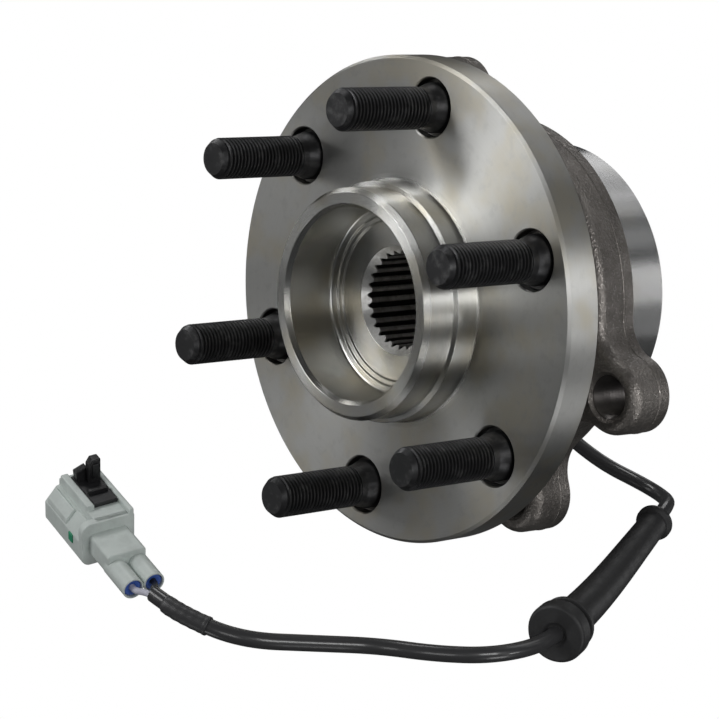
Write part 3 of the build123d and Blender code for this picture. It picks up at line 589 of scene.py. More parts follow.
class Form:
    """A mesh under construction, in millimetres in the row frame."""

    def __init__(self) -> None:
        """Starts empty."""
        self.mesh = bmesh.new()

    # Shapes ---------------------------------------------------------------------------------
    def turn(self, profile: Sequence[Point2], segments: int = 192) -> "Form":
        """Adds a closed (radius, station) profile turned about the axle.

        Args:
            profile: points in order; stations run along +Y.
            segments: facets round the axle.
        Returns:
            This form.
        """
        ring = [self.mesh.verts.new((r, y, 0.0)) for r, y in profile]
        edges = [self.mesh.edges.new(ends) for ends in zip(ring, ring[1:] + ring[:1])]
        bmesh.ops.spin(
            self.mesh,
            geom=ring + edges,
            cent=(0.0, 0.0, 0.0),
            axis=(0.0, -1.0, 0.0),
            angle=TAU,
            steps=segments,
            use_merge=True,
        )
        bmesh.ops.remove_doubles(self.mesh, verts=self.mesh.verts, dist=1e-5)
        return self

    def loft(self, loops: Sequence[Sequence[Vector]], capped: bool = True) -> "Form":
        """Adds a skin through loops of equal length.

        Args:
            loops: the loops' points, in order.
            capped: closes both ends with flat caps.
        Returns:
            This form.
        """
        rings = [[self.mesh.verts.new(p) for p in loop] for loop in loops]
        count = len(rings[0])
        for here, there in zip(rings, rings[1:]):
            for k in range(count):
                n = (k + 1) % count
                self.mesh.faces.new((here[k], here[n], there[n], there[k]))
        if capped:
            self.mesh.faces.new(rings[0])
            self.mesh.faces.new(list(reversed(rings[-1])))
        return self

    def sweep(
        self, line: "Line", marks: Sequence[tuple[float, float]], segments: int = 32
    ) -> "Form":
        """Adds a round bar along a line.

        Args:
            line: its centreline.
            marks: (distance, radius) pairs in order; two at one distance make a step.
            segments: facets round the bar.
        Returns:
            This form.
        """
        loops = []
        side = line.at(marks[0][0])[1].cross(Vector((0.0, 0.0, 1.0))).normalized()
        for distance, radius in marks:
            spot, way = line.at(distance)
            side = (side - way * side.dot(way)).normalized()
            top = side.cross(way)
            loops.append(
                [
                    spot
                    + side * (radius * math.cos(TAU * s / segments))
                    + top * (radius * math.sin(TAU * s / segments))
                    for s in range(segments)
                ]
            )
        return self.loft(loops)

    def prism(
        self, shape: Sequence[Point2], low: float, high: float, blend: float = 0.0, steps: int = 3
    ) -> "Form":
        """Adds an outline in x and y pulled along z, with both ends' edges rounded.

        Args:
            shape: the outline.
            low: where it starts on z.
            high: where it ends.
            blend: radius of the rounded edges.
            steps: segments of the rounding.
        Returns:
            This form.
        """
        part = bmesh.new()
        ring = [part.verts.new((x, y, low)) for x, y in shape]
        face = part.faces.new(ring)
        pulled = bmesh.ops.extrude_face_region(part, geom=[face])
        moved = [g for g in pulled["geom"] if isinstance(g, bmesh.types.BMVert)]
        bmesh.ops.translate(part, verts=moved, vec=(0.0, 0.0, high - low))
        bmesh.ops.recalc_face_normals(part, faces=part.faces)
        if blend > 0.0:
            rims = [e for e in part.edges if abs(e.verts[0].co.z - e.verts[1].co.z) < 1e-6]
            bmesh.ops.bevel(
                part,
                geom=rims,
                offset=blend,
                segments=steps,
                profile=0.5,
                affect="EDGES",
                clamp_overlap=True,
                material=-1,
            )
        return self.take(part)

    def take(self, other: bmesh.types.BMesh, place: Matrix | None = None) -> "Form":
        """Adds another mesh and frees it.

        Args:
            other: the mesh.
            place: moves it first.
        Returns:
            This form.
        """
        if place is not None:
            bmesh.ops.transform(other, matrix=place, verts=other.verts)
        scratch = bpy.data.meshes.new("scratch")
        other.to_mesh(scratch)
        other.free()
        self.mesh.from_mesh(scratch)
        bpy.data.meshes.remove(scratch)
        return self

    def moved(self, place: Matrix) -> "Form":
        """Moves everything made so far."""
        bmesh.ops.transform(self.mesh, matrix=place, verts=self.mesh.verts)
        return self

    def copies(self, places: Sequence[Matrix]) -> "Form":
        """Repeats everything made so far, once at each place."""
        one = self.mesh.copy()
        self.mesh.clear()
        for place in places:
            self.take(one.copy(), place)
        one.free()
        return self

    def cut(self, tool: "Form") -> "Form":
        """Takes another form away from this one.

        Args:
            tool: the form to take away. It is freed.
        Returns:
            This form.
        """
        bodies = []
        for form in (self, tool):
            bmesh.ops.recalc_face_normals(form.mesh, faces=form.mesh.faces)
            data = bpy.data.meshes.new("cutting")
            form.mesh.to_mesh(data)
            body = bpy.data.objects.new("cutting", data)
            bpy.context.scene.collection.objects.link(body)
            bodies.append(body)
        work, blade = bodies
        trim = work.modifiers.new("cut", "BOOLEAN")
        trim.operation = "DIFFERENCE"
        trim.solver = "EXACT"
        trim.object = blade
        graph = bpy.context.evaluated_depsgraph_get()
        result = bpy.data.meshes.new_from_object(work.evaluated_get(graph))
        self.mesh.clear()
        self.mesh.from_mesh(result)
        tool.mesh.free()
        bpy.data.meshes.remove(result)
        for body in bodies:
            data = body.data
            bpy.data.objects.remove(body)
            bpy.data.meshes.remove(data)
        return self

    # Finishing ------------------------------------------------------------------------------
    def piece(
        self,
        name: str,
        finish: Finish,
        body: Body,
        replaces: Sequence[str] = (),
        sharp: float = 32.0,
    ) -> bpy.types.Object:
        """Turns the form into a shown piece of the object.

        Args:
            name: the piece's name.
            finish: its look.
            body: the frame's body that it rides on.
            replaces: frame nodes that it stands for.
            sharp: edges that turn more than this many degrees stay sharp.
        Returns:
            The new object.
        """
        bmesh.ops.recalc_face_normals(self.mesh, faces=self.mesh.faces)
        bmesh.ops.scale(self.mesh, vec=(METRES,) * 3, verts=self.mesh.verts)
        data = bpy.data.meshes.new(name)
        self.mesh.to_mesh(data)
        self.mesh.free()
        data.shade_smooth()
        data.set_sharp_from_angle(angle=math.radians(sharp))
        data.materials.append(finish.material())
        made = bpy.data.objects.new(name, data)
        bpy.context.scene.collection.objects.link(made)
        weights = made.modifiers.new("weights", "WEIGHTED_NORMAL")
        weights.keep_sharp = True
        graph = bpy.context.evaluated_depsgraph_get()
        baked = bpy.data.meshes.new_from_object(
            made.evaluated_get(graph), preserve_all_data_layers=True, depsgraph=graph
        )
        made.modifiers.clear()
        made.data = baked
        bpy.data.meshes.remove(data)
        baked.name = name
        if replaces:
            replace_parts(made, *replaces)
        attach(made, body.value)
        LOG.info("%s: %d faces", name, len(baked.polygons))
        return made


def about_axle(degrees: float) -> Matrix:
    """A turn about the axle, from +X towards +Z."""
    return Matrix.Rotation(math.radians(-degrees), 4, "Y")


def polar(radius: float, degrees: float, station: float) -> Vector:
    """A point by its radius and angle about the axle, and its station along it."""
    angle = math.radians(degrees)
    return Vector((radius * math.cos(angle), station, radius * math.sin(angle)))


@dataclass(frozen=True)
class Thread:
    """A metric thread along the axle direction."""

    major: float = 6.0
    depth: float = 0.72
    pitch: float = 1.25

    def rod(
        self, low: float, high: float, envelope: Callable[[float], float], segments: int = 48
    ) -> Form:
        """A threaded rod on its own Y axis.

        Args:
            low: station of its first end.
            high: station of its second end.
            envelope: the largest radius at a station, which cuts the crests back.
            segments: facets round the rod.
        Returns:
            The closed rod.
        """
        section = ((0.0, 0.0), (0.3, 1.0), (0.42, 1.0), (0.62, 0.0), (0.86, 0.0))
        rows: list[tuple[float, float]] = []
        turns = int(math.ceil((high - low) / self.pitch)) + 2
        for lap in range(-1, turns):
            rows += [((lap + share) * self.pitch, self.depth * dip) for share, dip in section]
        form = Form()
        loops = []
        for offset, dip in rows:
            loop = []
            for step in range(segments + 1):
                station = low + offset + self.pitch * step / segments
                bound = min(max(station, low), high)
                radius = min(self.major - dip, envelope(bound))
                angle = TAU * step / segments
                loop.append(Vector((radius * math.cos(angle), bound, radius * math.sin(angle))))
            loops.append([form.mesh.verts.new(p) for p in loop])
        for here, there in zip(loops, loops[1:]):
            for k in range(segments):
                form.mesh.faces.new((here[k], here[k + 1], there[k + 1], there[k]))
        bmesh.ops.remove_doubles(form.mesh, verts=form.mesh.verts, dist=1e-4)
        bmesh.ops.dissolve_degenerate(form.mesh, edges=form.mesh.edges, dist=1e-5)
        rims = [e for e in form.mesh.edges if e.is_boundary]
        bmesh.ops.holes_fill(form.mesh, edges=rims, sides=0)
        return form


# ---------------------------------------------------------------------------------------------
# Hub
# ---------------------------------------------------------------------------------------------
@dataclass(frozen=True)
class HubSizes:
    """Stations and radii of the hub, in millimetres."""

    wheel_face: float = -44.0
    flange_back: float = -32.5
    flange_r: float = 70.0
    pilot_rim: float = -61.7
    pilot_r: float = 33.05
    rotor_step: float = -51.3
    rotor_r: float = 34.5
    cup_r: float = 27.5
    cup_floor: float = -43.2
    bore_r: float = 15.6
    spindle_end: float = 25.6
    lead_in: float = 12.0
    teeth: int = 28
    tip_r: float = 13.4
    root_r: float = 14.3
    stud_count: int = 6
    stud_circle: float = 57.15
    stud_clock: float = 30.0
    recess_r: float = 8.35
    recess_depth: float = 3.4


class Hub:
    """The turning half's new pieces: flange with its spindle, spline and studs."""

    BODY = Body.HUB

    def __init__(self, sizes: HubSizes = HubSizes()) -> None:
        """Args: sizes: the hub's dimensions."""
        self.sizes = sizes

    def stud_places(self) -> list[Matrix]:
        """Where each stud stands, as matrices from a stud on its own axis."""
        s = self.sizes
        return [
            Matrix.Translation(polar(s.stud_circle, s.stud_clock + 360.0 * k / s.stud_count, 0.0))
            for k in range(s.stud_count)
        ]

    def flange(self) -> bpy.types.Object:
        """The wheel flange with its pilot, cup and spindle."""
        s = self.sizes
        face, back, rim = s.wheel_face, s.flange_back, s.pilot_rim
        profile = outline(
            [
                (s.bore_r, s.spindle_end - s.lead_in),
                (s.bore_r, s.cup_floor, 0.25),
                (23.1, s.cup_floor - 0.3, 0.2),
                (23.5, s.cup_floor - 0.9, 0.25),
                (24.7, s.cup_floor - 0.9, 0.2),
                (25.0, s.cup_floor - 1.6, 0.3),
                (s.cup_r - 0.05, s.cup_floor - 1.6, 1.6),
                (s.cup_r, rim + 1.4, 0.3),
                (s.cup_r + 1.1, rim, 0.3),
                (s.pilot_r - 1.3, rim, 0.5),
                (s.pilot_r, rim + 1.7, 0.5),
                (s.pilot_r, s.rotor_step - 0.5, 0.25),
                (s.rotor_r, s.rotor_step, 0.3),
                (s.rotor_r, face - 1.5, 0.3),
                (s.rotor_r + 0.2, face - 0.2, 1.2),
                (36.6, face, 0.3),
                (s.flange_r - 0.9, face, 0.25),
                (s.flange_r, face + 0.9, 0.3),
                (s.flange_r, back - 0.8, 0.3),
                (s.flange_r - 0.8, back, 0.3),
                (36.5, back, 4.0),
                (32.0, back + 4.2, 0.3),
                (32.0, -25.4, 0.3),
                (30.3, -24.6, 0.3),
                *groove(33.0, -17.0, 6.47, (30.3, -22.88), (27.3, -13.94)),
                (27.3, -5.6, 0.3),
                (26.7, -5.0),
                (21.5, -5.0),
                (21.5, 21.5),
                (26.5, 21.55, 0.3),
                (26.4, 23.6, 1.2),
                (23.2, s.spindle_end, 1.0),
                (16.4, s.spindle_end, 0.3),
                (15.55, s.spindle_end - 1.0, 0.3),
                (15.55, s.spindle_end - s.lead_in, 0.1),
            ]
        )
        form = Form().turn(profile, 288)
        holes = Form().turn(
            outline(
                [
                    (0.0, face - 3.0),
                    (s.recess_r + 3.4, face - 3.0),
                    (s.recess_r, face + 0.4, 0.15),
                    (s.recess_r, face + s.recess_depth, 0.3),
                    (6.5, face + s.recess_depth, 0.1),
                    (6.5, back + 1.0),
                    (0.0, back + 1.0),
                ]
            ),
            64,
        )
        form.cut(holes.copies(self.stud_places()))
        return form.piece("hub_flange_turned", Finishes.TURNED, self.BODY, ["hub_flange"], 28.0)

    def spline(self) -> bpy.types.Object:
        """The bore's spline teeth, with their ends cut to the cup's chamfer."""
        s = self.sizes
        pitch = 360.0 / s.teeth
        tip_half, root_half = 0.33 * pitch, 0.09 * pitch
        section: list[tuple[float, float]] = []
        for tooth in range(s.teeth):
            middle = pitch * tooth
            section += [
                (s.root_r, middle - root_half),
                (s.root_r, middle + root_half),
                (s.tip_r + 0.14, middle + tip_half - 0.3),
                (s.tip_r, middle + tip_half + 0.6),
                (s.tip_r, middle + pitch - tip_half - 0.6),
                (s.tip_r + 0.14, middle + pitch - tip_half + 0.3),
            ]
        end = s.spindle_end - s.lead_in

        def front(radius: float) -> float:
            """The station of the teeth's chamfered end at a radius."""
            return s.cup_floor + (s.bore_r - radius) * 0.95

        form = Form()
        rings = [
            [polar(r, a, front(r)) for r, a in section],
            [polar(r, a, end + (s.bore_r - r) * 0.6 - 1.2) for r, a in section],
        ]
        outer = [polar(s.bore_r + 0.1, a, front(s.bore_r)) for _, a in section]
        back = [polar(s.bore_r + 0.1, a, end - 0.1) for _, a in section]
        form.loft([back, outer, *rings, back], capped=False)
        bmesh.ops.remove_doubles(form.mesh, verts=form.mesh.verts, dist=1e-4)
        return form.piece("hub_spline", Finishes.SPLINE, self.BODY, sharp=20.0)

    def studs(self) -> bpy.types.Object:
        """The six pressed-in wheel studs."""
        s = self.sizes
        tip = s.wheel_face - 34.0
        thread_end = s.wheel_face - 4.2
        thread = Thread()

        def envelope(station: float) -> float:
            """The largest radius at a station: chamfered tip, full thread and run-out."""
            chamfer = 4.6 + (station - tip) * 0.72
            runout = 5.3 + max(0.0, (thread_end - station)) * 0.6
            return min(chamfer, thread.major, max(runout, 5.3))

        form = thread.rod(tip, thread_end, envelope)
        shank = outline(
            [
                (0.0, thread_end - 0.3),
                (5.75, thread_end - 0.3, 0.2),
                (5.95, s.wheel_face - 2.6, 1.0),
                (7.1, s.wheel_face + 0.6, 0.4),
                (7.1, s.wheel_face + s.recess_depth + 0.02, 0.1),
                (6.45, s.wheel_face + s.recess_depth + 0.02),
                (6.45, s.flange_back),
                (9.0, s.flange_back, 0.3),
                (9.0, s.flange_back + 3.0, 0.5),
                (7.4, s.flange_back + 4.0, 0.4),
                (0.0, s.flange_back + 4.0),
            ]
        )
        form.take(Form().turn(shank, 64).mesh)
        form.copies(self.stud_places())
        return form.piece("wheel_studs_m12", Finishes.BLACK_OXIDE, self.BODY, ["wheel_studs"], 38.0)

    def build(self) -> None:
        """Makes the flange, the spline and the studs."""
        self.flange()
        self.spline()
        self.studs()


# ---------------------------------------------------------------------------------------------
# Outer ring
# ---------------------------------------------------------------------------------------------
@dataclass(frozen=True)
class RingSizes:
    """Outer ring dimensions, in millimetres."""

    thickness: float = 14.0
    plate_r: float = 52.3
    plate_round: float = 3.6
    ears: tuple[float, ...] = (-9.7, -59.1, 120.9, 170.3)
    ear_circle: float = 60.5
    ear_r: float = 11.3
    ear_blend: float = 11.0
    barrel_r: float = 45.0
    barrel_end: float = -29.0
    spigot_r: float = 43.5
    spigot_end: float = 22.0
    seal_bore: float = 40.5


class OuterRing:
    """The fixed forging with its ears, barrel and spigot."""

    BODY = Body.RING

    def __init__(self, sizes: RingSizes = RingSizes()) -> None:
        """Args: sizes: the ring's dimensions."""
        self.sizes = sizes

    def plan(self) -> list[tuple[Vector, Vector]]:
        """The plate's outline in the plane of the face.

        Returns:
            Pairs of a point and its outward normal, in order.
        """
        s = self.sizes
        side = s.ear_r + s.ear_blend
        along = math.sqrt((s.plate_r + s.ear_blend) ** 2 - side**2)
        edge = math.degrees(math.atan2(side, along))
        marks: list[tuple[Vector, Vector]] = []

        def arc(
            centre: Vector, radius: float, start: float, stop: float, inward: bool, steps: int
        ) -> None:
            """Adds an arc's points to the marks."""
            for k in range(steps + 1):
                angle = math.radians(start + (stop - start) * k / steps)
                out = Vector((math.cos(angle), math.sin(angle)))
                marks.append((centre + out * radius, -out if inward else out))

        ears = sorted(s.ears)
        for k, ear in enumerate(ears):
            turn = Matrix.Rotation(math.radians(ear), 2)
            first = turn @ Vector((along, -side))
            last = turn @ Vector((along, side))
            arc(first, s.ear_blend, ear + 180.0 - edge, ear + 90.0, True, 12)
            arc(turn @ Vector((s.ear_circle, 0.0)), s.ear_r, ear - 90.0, ear + 90.0, False, 28)
            arc(last, s.ear_blend, ear + 270.0, ear + 180.0 + edge, True, 12)
            following = ears[(k + 1) % len(ears)] + (360.0 if k == len(ears) - 1 else 0.0)
            gap = following - ear - 2.0 * edge
            steps = max(3, int(gap / 3.0))
            for m in range(1, steps):
                angle = math.radians(ear + edge + gap * m / steps)
                out = Vector((math.cos(angle), math.sin(angle)))
                marks.append((out * s.plate_r, out))
        return marks

    def plate(self) -> bpy.types.Object:
        """The forged knuckle plate with its four tapped ears."""
        s = self.sizes
        marks = self.plan()
        levels = [(0.65, -0.0), (0.27, -0.12), (0.15, -0.5), (0.15, -3.7), (0.0, -3.85)]
        levels += [(0.0, -4.1), (0.15, -4.3), (0.3, -s.thickness + s.plate_round)]
        for k in range(1, 9):
            angle = math.radians(90.0 * k / 8)
            levels.append(
                (
                    0.3 + (s.plate_round - 0.3) * (1.0 - math.cos(angle)),
                    -s.thickness + s.plate_round * (1.0 - math.sin(angle)),
                )
            )
        loops = [
            [Vector((p.x - n.x * inset, y, p.y - n.y * inset)) for p, n in marks]
            for inset, y in levels
        ]
        form = Form().loft(loops)
        hole = outline(
            [
                (0.0, -s.thickness - 2.0),
                (9.2, -s.thickness - 2.0),
                (6.3, -s.thickness + 0.9, 0.3),
                (6.3, 0.5),
                (0.0, 0.5),
            ]
        )
        drill = Form().turn(hole, 48)
        drill.copies([Matrix.Translation(polar(s.ear_circle, a, 0.0)) for a in s.ears])
        form.cut(drill)
        return form.piece("outer_ring_plate", Finishes.FORGED, self.BODY, ["knuckle_plate"], 30.0)

    def threads(self) -> bpy.types.Object:
        """The tapped bores of the ears."""
        s = self.sizes
        pitch = Thread().pitch
        form = Form()
        rows = []
        for lap in range(int(s.thickness / pitch) + 1):
            rows += [(lap * pitch, 6.2), ((lap + 0.5) * pitch, 5.45)]
        rows = [(min(y, s.thickness - 1.6), r) for y, r in rows]
        profile = [(6.35, -0.05), (6.35, -s.thickness + 1.3)]
        profile += [(r, -s.thickness + 1.3 + y) for y, r in rows if -s.thickness + 1.3 + y < -0.1]
        form.turn(profile, 48)
        form.copies([Matrix.Translation(polar(s.ear_circle, a, 0.0)) for a in s.ears])
        return form.piece("ear_threads", Finishes.SHADED_TAPPED, self.BODY, sharp=30.0)

    def barrel(self) -> bpy.types.Object:
        """The turned barrel, bore and spigot."""
        s = self.sizes
        profile = outline(
            [
                (s.seal_bore + 0.5, s.barrel_end, 0.2),
                (s.barrel_r - 1.0, s.barrel_end, 0.3),
                (s.barrel_r, s.barrel_end + 1.0, 0.4),
                (s.barrel_r, -16.5, 1.0),
                (s.barrel_r + 2.4, -13.5),
                (s.barrel_r + 2.4, -1.0),
                (s.spigot_r - 0.4, -1.0),
                (s.spigot_r - 0.4, 2.2, 0.3),
                (s.spigot_r, 2.8, 0.3),
                (s.spigot_r, s.spigot_end - 1.0, 0.3),
                (s.spigot_r - 1.0, s.spigot_end, 0.3),
                (s.seal_bore + 0.4, s.spigot_end, 0.2),
                (s.seal_bore, s.spigot_end - 0.5, 0.2),
                (s.seal_bore, 14.4),
                (38.9, 14.4),
                *groove(33.0, 7.0, 6.47, (38.9, 9.65), (36.2, 1.38)),
                *groove(33.0, -17.0, 6.47, (36.2, -11.38), (38.9, -19.65)),
                (38.9, -21.4),
                (s.seal_bore, -21.4),
                (s.seal_bore, s.barrel_end + 0.6),
            ]
        )
        return Form().turn(profile, 240).piece(
            "outer_ring_turned", Finishes.SPIGOT, self.BODY, ["outer_ring"], 28.0
        )

    def build(self) -> None:
        """Makes every piece of the outer ring."""
        self.plate()
        self.threads()
        self.barrel()


# ---------------------------------------------------------------------------------------------
# Sensor lead
# ---------------------------------------------------------------------------------------------
LEAD_ROUTE: tuple[tuple[float, float, float], ...] = (
    (-15.5, 30.0, -36.7),
    (-4.0, 35.0, -46.5),
    (14.0, 40.5, -54.0),
    (32.5, 43.5, -55.0),
    (46.0, 38.5, -53.5),
    (55.0, 28.0, -50.5),
    (65.0, 8.0, -53.5),
    (79.5, -22.0, -59.0),
    (90.0, -45.5, -61.0),
    (96.0, -60.5, -62.0),
    (93.5, -76.0, -63.5),
    (84.0, -87.0, -65.5),
    (71.0, -95.5, -67.8),
    (64.0, -110.5, -67.8),
    (55.5, -130.0, -67.5),
    (40.0, -138.5, -65.5),
    (30.5, -140.0, -64.0),
)


class Route:
    """A smooth line that sets out towards its second point and touches each run's middle."""

    def __init__(self, points: Sequence[Sequence[float]]) -> None:
        """Args: points: the control points, in millimetres."""
        self.points = [Vector(p) for p in points]

    def halfway(self, run: int) -> Vector:
        """The middle of the run that starts at a control point."""
        return (self.points[run] + self.points[run + 1]) / 2.0

    def stretch(self, first_run: int, last_run: int, steps: int = 14) -> Line:
        """The line from the middle of one run to the middle of a later one."""
        line = [self.halfway(first_run)]
        for corner in range(first_run + 1, last_run + 1):
            start, bend, end = self.halfway(corner - 1), self.points[corner], self.halfway(corner)
            for k in range(1, steps + 1):
                t = k / steps
                line.append(start * (1 - t) ** 2 + bend * (2 * t * (1 - t)) + end * t**2)
        return Line(line)

    def curve(self, name: str, radius: float, finish: Finish, body: Body) -> bpy.types.Object:
        """A round curve object along the whole line.

        Args:
            name: the piece's name.
            radius: the bar's radius, in millimetres.
            finish: its look.
            body: the frame's body that it rides on.
        Returns:
            The new object.
        """
        data = bpy.data.curves.new(name, "CURVE")
        data.dimensions = "3D"
        data.bevel_depth = radius * METRES
        data.bevel_resolution = 8
        data.use_fill_caps = True
        spline = data.splines.new("NURBS")
        spline.points.add(len(self.points) - 1)
        for target, source in zip(spline.points, self.points):
            target.co = (*(source * METRES), 1.0)
        spline.order_u = 3
        spline.use_endpoint_u = True
        spline.resolution_u = 10
        data.materials.append(finish.material())
        made = bpy.data.objects.new(name, data)
        bpy.context.scene.collection.objects.link(made)
        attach(made, body.value)
        return made


class Lead:
    """The sensor's cable with its grommet and sleeve."""

    BODY = Body.RING
    RADIUS = 2.2
    LENGTH_M = 0.2906
    BUTTON_LENGTH = 5.0
    GROOVE_LENGTH = 2.4
    FLANGE_LENGTH = 1.6

    def __init__(self) -> None:
        """Lays the cable's route."""
        self.route = Route(LEAD_ROUTE)

    def jacket(self) -> bpy.types.Object:
        """The cable itself."""
        made = self.route.curve("sensor_lead", self.RADIUS, Finishes.JACKET, self.BODY)
        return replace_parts(made, "sensor_cable")

    def grommet(self) -> bpy.types.Object:
        """The body grommet: collar, tapered sleeve, flange, groove and button."""
        line = self.route.stretch(5, 8)
        total = line.length
        button = total - self.BUTTON_LENGTH
        groove = button - self.GROOVE_LENGTH
        flange = groove - self.FLANGE_LENGTH
        marks = [(0.0, 2.3), (0.0, 4.6), (0.12, 5.05), (0.5, 5.4)]
        marks += [(1.5, 5.4), (1.9, 5.1), (2.1, 4.35)]
        for k in range(31):
            share = k / 30
            marks.append((2.5 + (flange - 3.0) * share, 4.15 + 1.35 * share))
        marks += [
            (flange, 5.7),
            (flange + 0.05, 7.2),
            (flange + 0.3, 7.65),
            (groove - 0.3, 7.65),
            (groove - 0.05, 7.3),
            (groove, 6.25),
            (button, 6.25),
            (button + 0.05, 7.7),
            (button + 0.5, 8.35),
            (total - 1.2, 8.35),
            (total - 0.35, 7.95),
            (total - 0.02, 7.2),
            (total, 3.6),
            (total - 0.7, 3.0),
            (total - 0.7, 2.1),
        ]
        form = Form().sweep(line, marks, 56)
        return form.piece("grommet", Finishes.GROMMET, self.BODY, ["cable_grommet"], 50.0)

    def sleeve(self) -> bpy.types.Object:
        """The heat-shrink sleeve near the connector."""
        line = self.route.stretch(14, 15, 24)
        total = line.length
        marks = [(0.0, 2.26), (0.02, 2.5), (0.2, 2.6), (0.9, 2.6), (1.1, 2.5)]
        marks += [(1.3 + (total - 1.6) * k / 16, 2.5 + 0.05 * math.sin(k * 1.9)) for k in range(17)]
        marks += [(total, 2.26)]
        form = Form().sweep(line, marks, 40)
        return form.piece("shrink_sleeve", Finishes.SHRINK, self.BODY, ["heat_shrink_sleeve"], 50.0)

    def build(self) -> list[bpy.types.Object]:
        """Makes the lead and returns its pieces, the cable first."""
        return [self.jacket(), self.grommet(), self.sleeve()]


# ---------------------------------------------------------------------------------------------
# Connector
# ---------------------------------------------------------------------------------------------
@dataclass(frozen=True)
class Axes:
    """A place with its own axes in the row frame."""

    origin: Vector
    along: Vector
    roll: float

    def matrix(self) -> Matrix:
        """From these axes, with z the way the connector mates, to the row frame."""
        z = self.along.normalized()
        level = Vector((0.0, 0.0, 1.0)).cross(z).normalized()
        top = z.cross(level)
        angle = math.radians(self.roll)
        x = level * math.cos(angle) - top * math.sin(angle)
        y = z.cross(x)
        turn = Matrix((x, y, z)).transposed().to_4x4()
        return Matrix.Translation(self.origin) @ turn


class Connector:
    """The two-pin sensor connector with its wires, seals, retainer and clip."""

    BODY = Body.RING
    AXES = Axes(Vector((24.4, -138.7, -64.6)), Vector((-0.98, 0.124, 0.13)), 12.5)
    HALF_PITCH = 3.05

    def __init__(self) -> None:
        """Finds the connector's place."""
        self.place = self.AXES.matrix()

    def box(
        self,
        form: Form,
        x: Point2,
        y: Point2,
        z: Point2,
        corner: float = 0.4,
        blend: float = 0.25,
    ) -> Form:
        """Adds a rounded block in the connector's axes.

        Args:
            form: the form to add it to.
            x: its range across the connector.
            y: its range upwards.
            z: its range along the way that the connector mates.
            corner: radius of the edges along z.
            blend: radius of the edges at both ends.
        Returns:
            The form.
        """
        return form.prism(rounded_box(x, y, corner, 3), z[0], z[1], blend)

    def tube(self, form: Form, x: float, profile: Sequence[Point2], segments: int = 48) -> Form:
        """Adds a turned ring about an axis through (x, 0) along z."""
        part = Form().turn(profile, segments).mesh
        aim = Matrix.Translation((x, 0.0, 0.0)) @ Matrix.Rotation(math.radians(90.0), 4, "X")
        return form.take(part, aim)

    def housing(self) -> bpy.types.Object:
        """The grey housing."""
        form = Form()
        shroud = outline(
            [
                (-7.7, -4.6, 1.0),
                (7.7, -4.6, 1.0),
                (7.7, 1.4, 0.8),
                (4.2, 5.6, 0.8),
                (3.4, 5.6, 0.3),
                (3.4, 7.7, 0.3),
                (-7.6, 7.7, 0.4),
                (-7.6, 1.4, 0.4),
                (-7.7, 1.4, 0.4),
            ],
            3,
        )
        form.prism(shroud, 22.0, 45.5, 0.3)
        cavity = Form()
        self.box(cavity, (-5.8, 5.8), (-3.9, 2.9), (31.5, 46.5), 1.5, 0.0)
        form.cut(cavity)
        wall = outline(
            [(-7.8, -5.4, 2.4), (7.8, -5.4, 2.4), (7.8, 7.7, 2.8), (-7.8, 7.7, 0.8)], 6
        )
        form.prism(wall, 21.5, 24.0, 0.3)
        block = outline(
            [(-5.6, -3.1, 2.5), (5.6, -3.1, 2.5), (5.6, 4.5, 1.0), (-5.6, 4.5, 1.0)], 5
        )
        form.prism(block, 10.0, 23.0, 0.45)
        for x in (self.HALF_PITCH, -self.HALF_PITCH):
            ring = outline(
                [(2.5, 9.0), (2.5, 0.0, 0.2), (3.0, 0.0, 0.2), (3.0, 12.0), (0.5, 12.0), (0.5, 9.0)]
            )
            self.tube(form, x, ring)
        self.box(form, (1.2, 3.4), (7.2, 9.2), (27.5, 44.7), 0.4, 0.3)
        self.box(form, (-7.6, -6.1), (7.2, 9.2), (21.5, 44.7), 0.4, 0.3)
        pad = outline(
            [
                (4.2, 4.5, 0.3),
                (4.8, 6.2, 0.6),
                (7.3, 3.2, 0.8),
                (7.6, 1.5, 0.4),
                (6.4, 1.5, 0.2),
            ],
            3,
        )
        form.prism(pad, 32.5, 44.3, 0.4)
        form.moved(self.place)
        return form.piece(
            "connector_shell", Finishes.GREY_PLASTIC, self.BODY, ["connector_housing"], 40.0
        )

    def clip(self) -> bpy.types.Object:
        """The black clip between the rails."""
        form = Form()
        self.box(form, (-5.95, 1.05), (7.72, 9.0), (28.1, 43.1), 0.3, 0.2)
        self.box(form, (-5.3, 0.4), (8.6, 10.3), (32.5, 33.9), 0.4, 0.3)
        mast = [(-5.5, 8.5), (-2.05, 8.5), (-2.05, 14.6, 0.3), (-3.1, 16.3, 0.4), (-5.5, 16.3, 0.4)]
        form.prism(outline(mast, 3), 37.7, 40.4, 0.3)
        self.box(form, (-4.9, -2.9), (10.4, 15.0), (37.3, 38.2), 0.3, 0.2)
        wing = [(-2.3, 8.5), (0.6, 8.5), (0.95, 11.9, 0.4), (-2.3, 13.1)]
        form.prism(outline(wing, 3), 39.8, 42.2, 0.3)
        form.moved(self.place)
        return form.piece("rail_clip_black", Finishes.BLACK_PLASTIC, self.BODY, ["rail_clip"], 40.0)

    def retainer(self) -> bpy.types.Object:
        """The green terminal retainer."""
        form = Form()
        self.box(form, (5.95, 8.05), (-1.35, 1.35), (27.5, 29.9), 0.3, 0.2)
        form.moved(self.place)
        return form.piece("retainer", Finishes.GREEN, self.BODY, ["terminal_retainer"], 40.0)

    def seals(self) -> bpy.types.Object:
        """The blue wire seals."""
        form = Form()
        for x in (self.HALF_PITCH, -self.HALF_PITCH):
            profile = outline(
                [
                    (0.95, 5.5),
                    (0.95, 0.9, 0.15),
                    (1.7, 0.65, 0.2),
                    (2.2, 0.65, 0.15),
                    (2.48, 1.0, 0.15),
                    (2.48, 5.5),
                ]
            )
            self.tube(form, x, profile)
        form.moved(self.place)
        return form.piece("seals_blue", Finishes.BLUE, self.BODY, ["wire_seals"], 40.0)

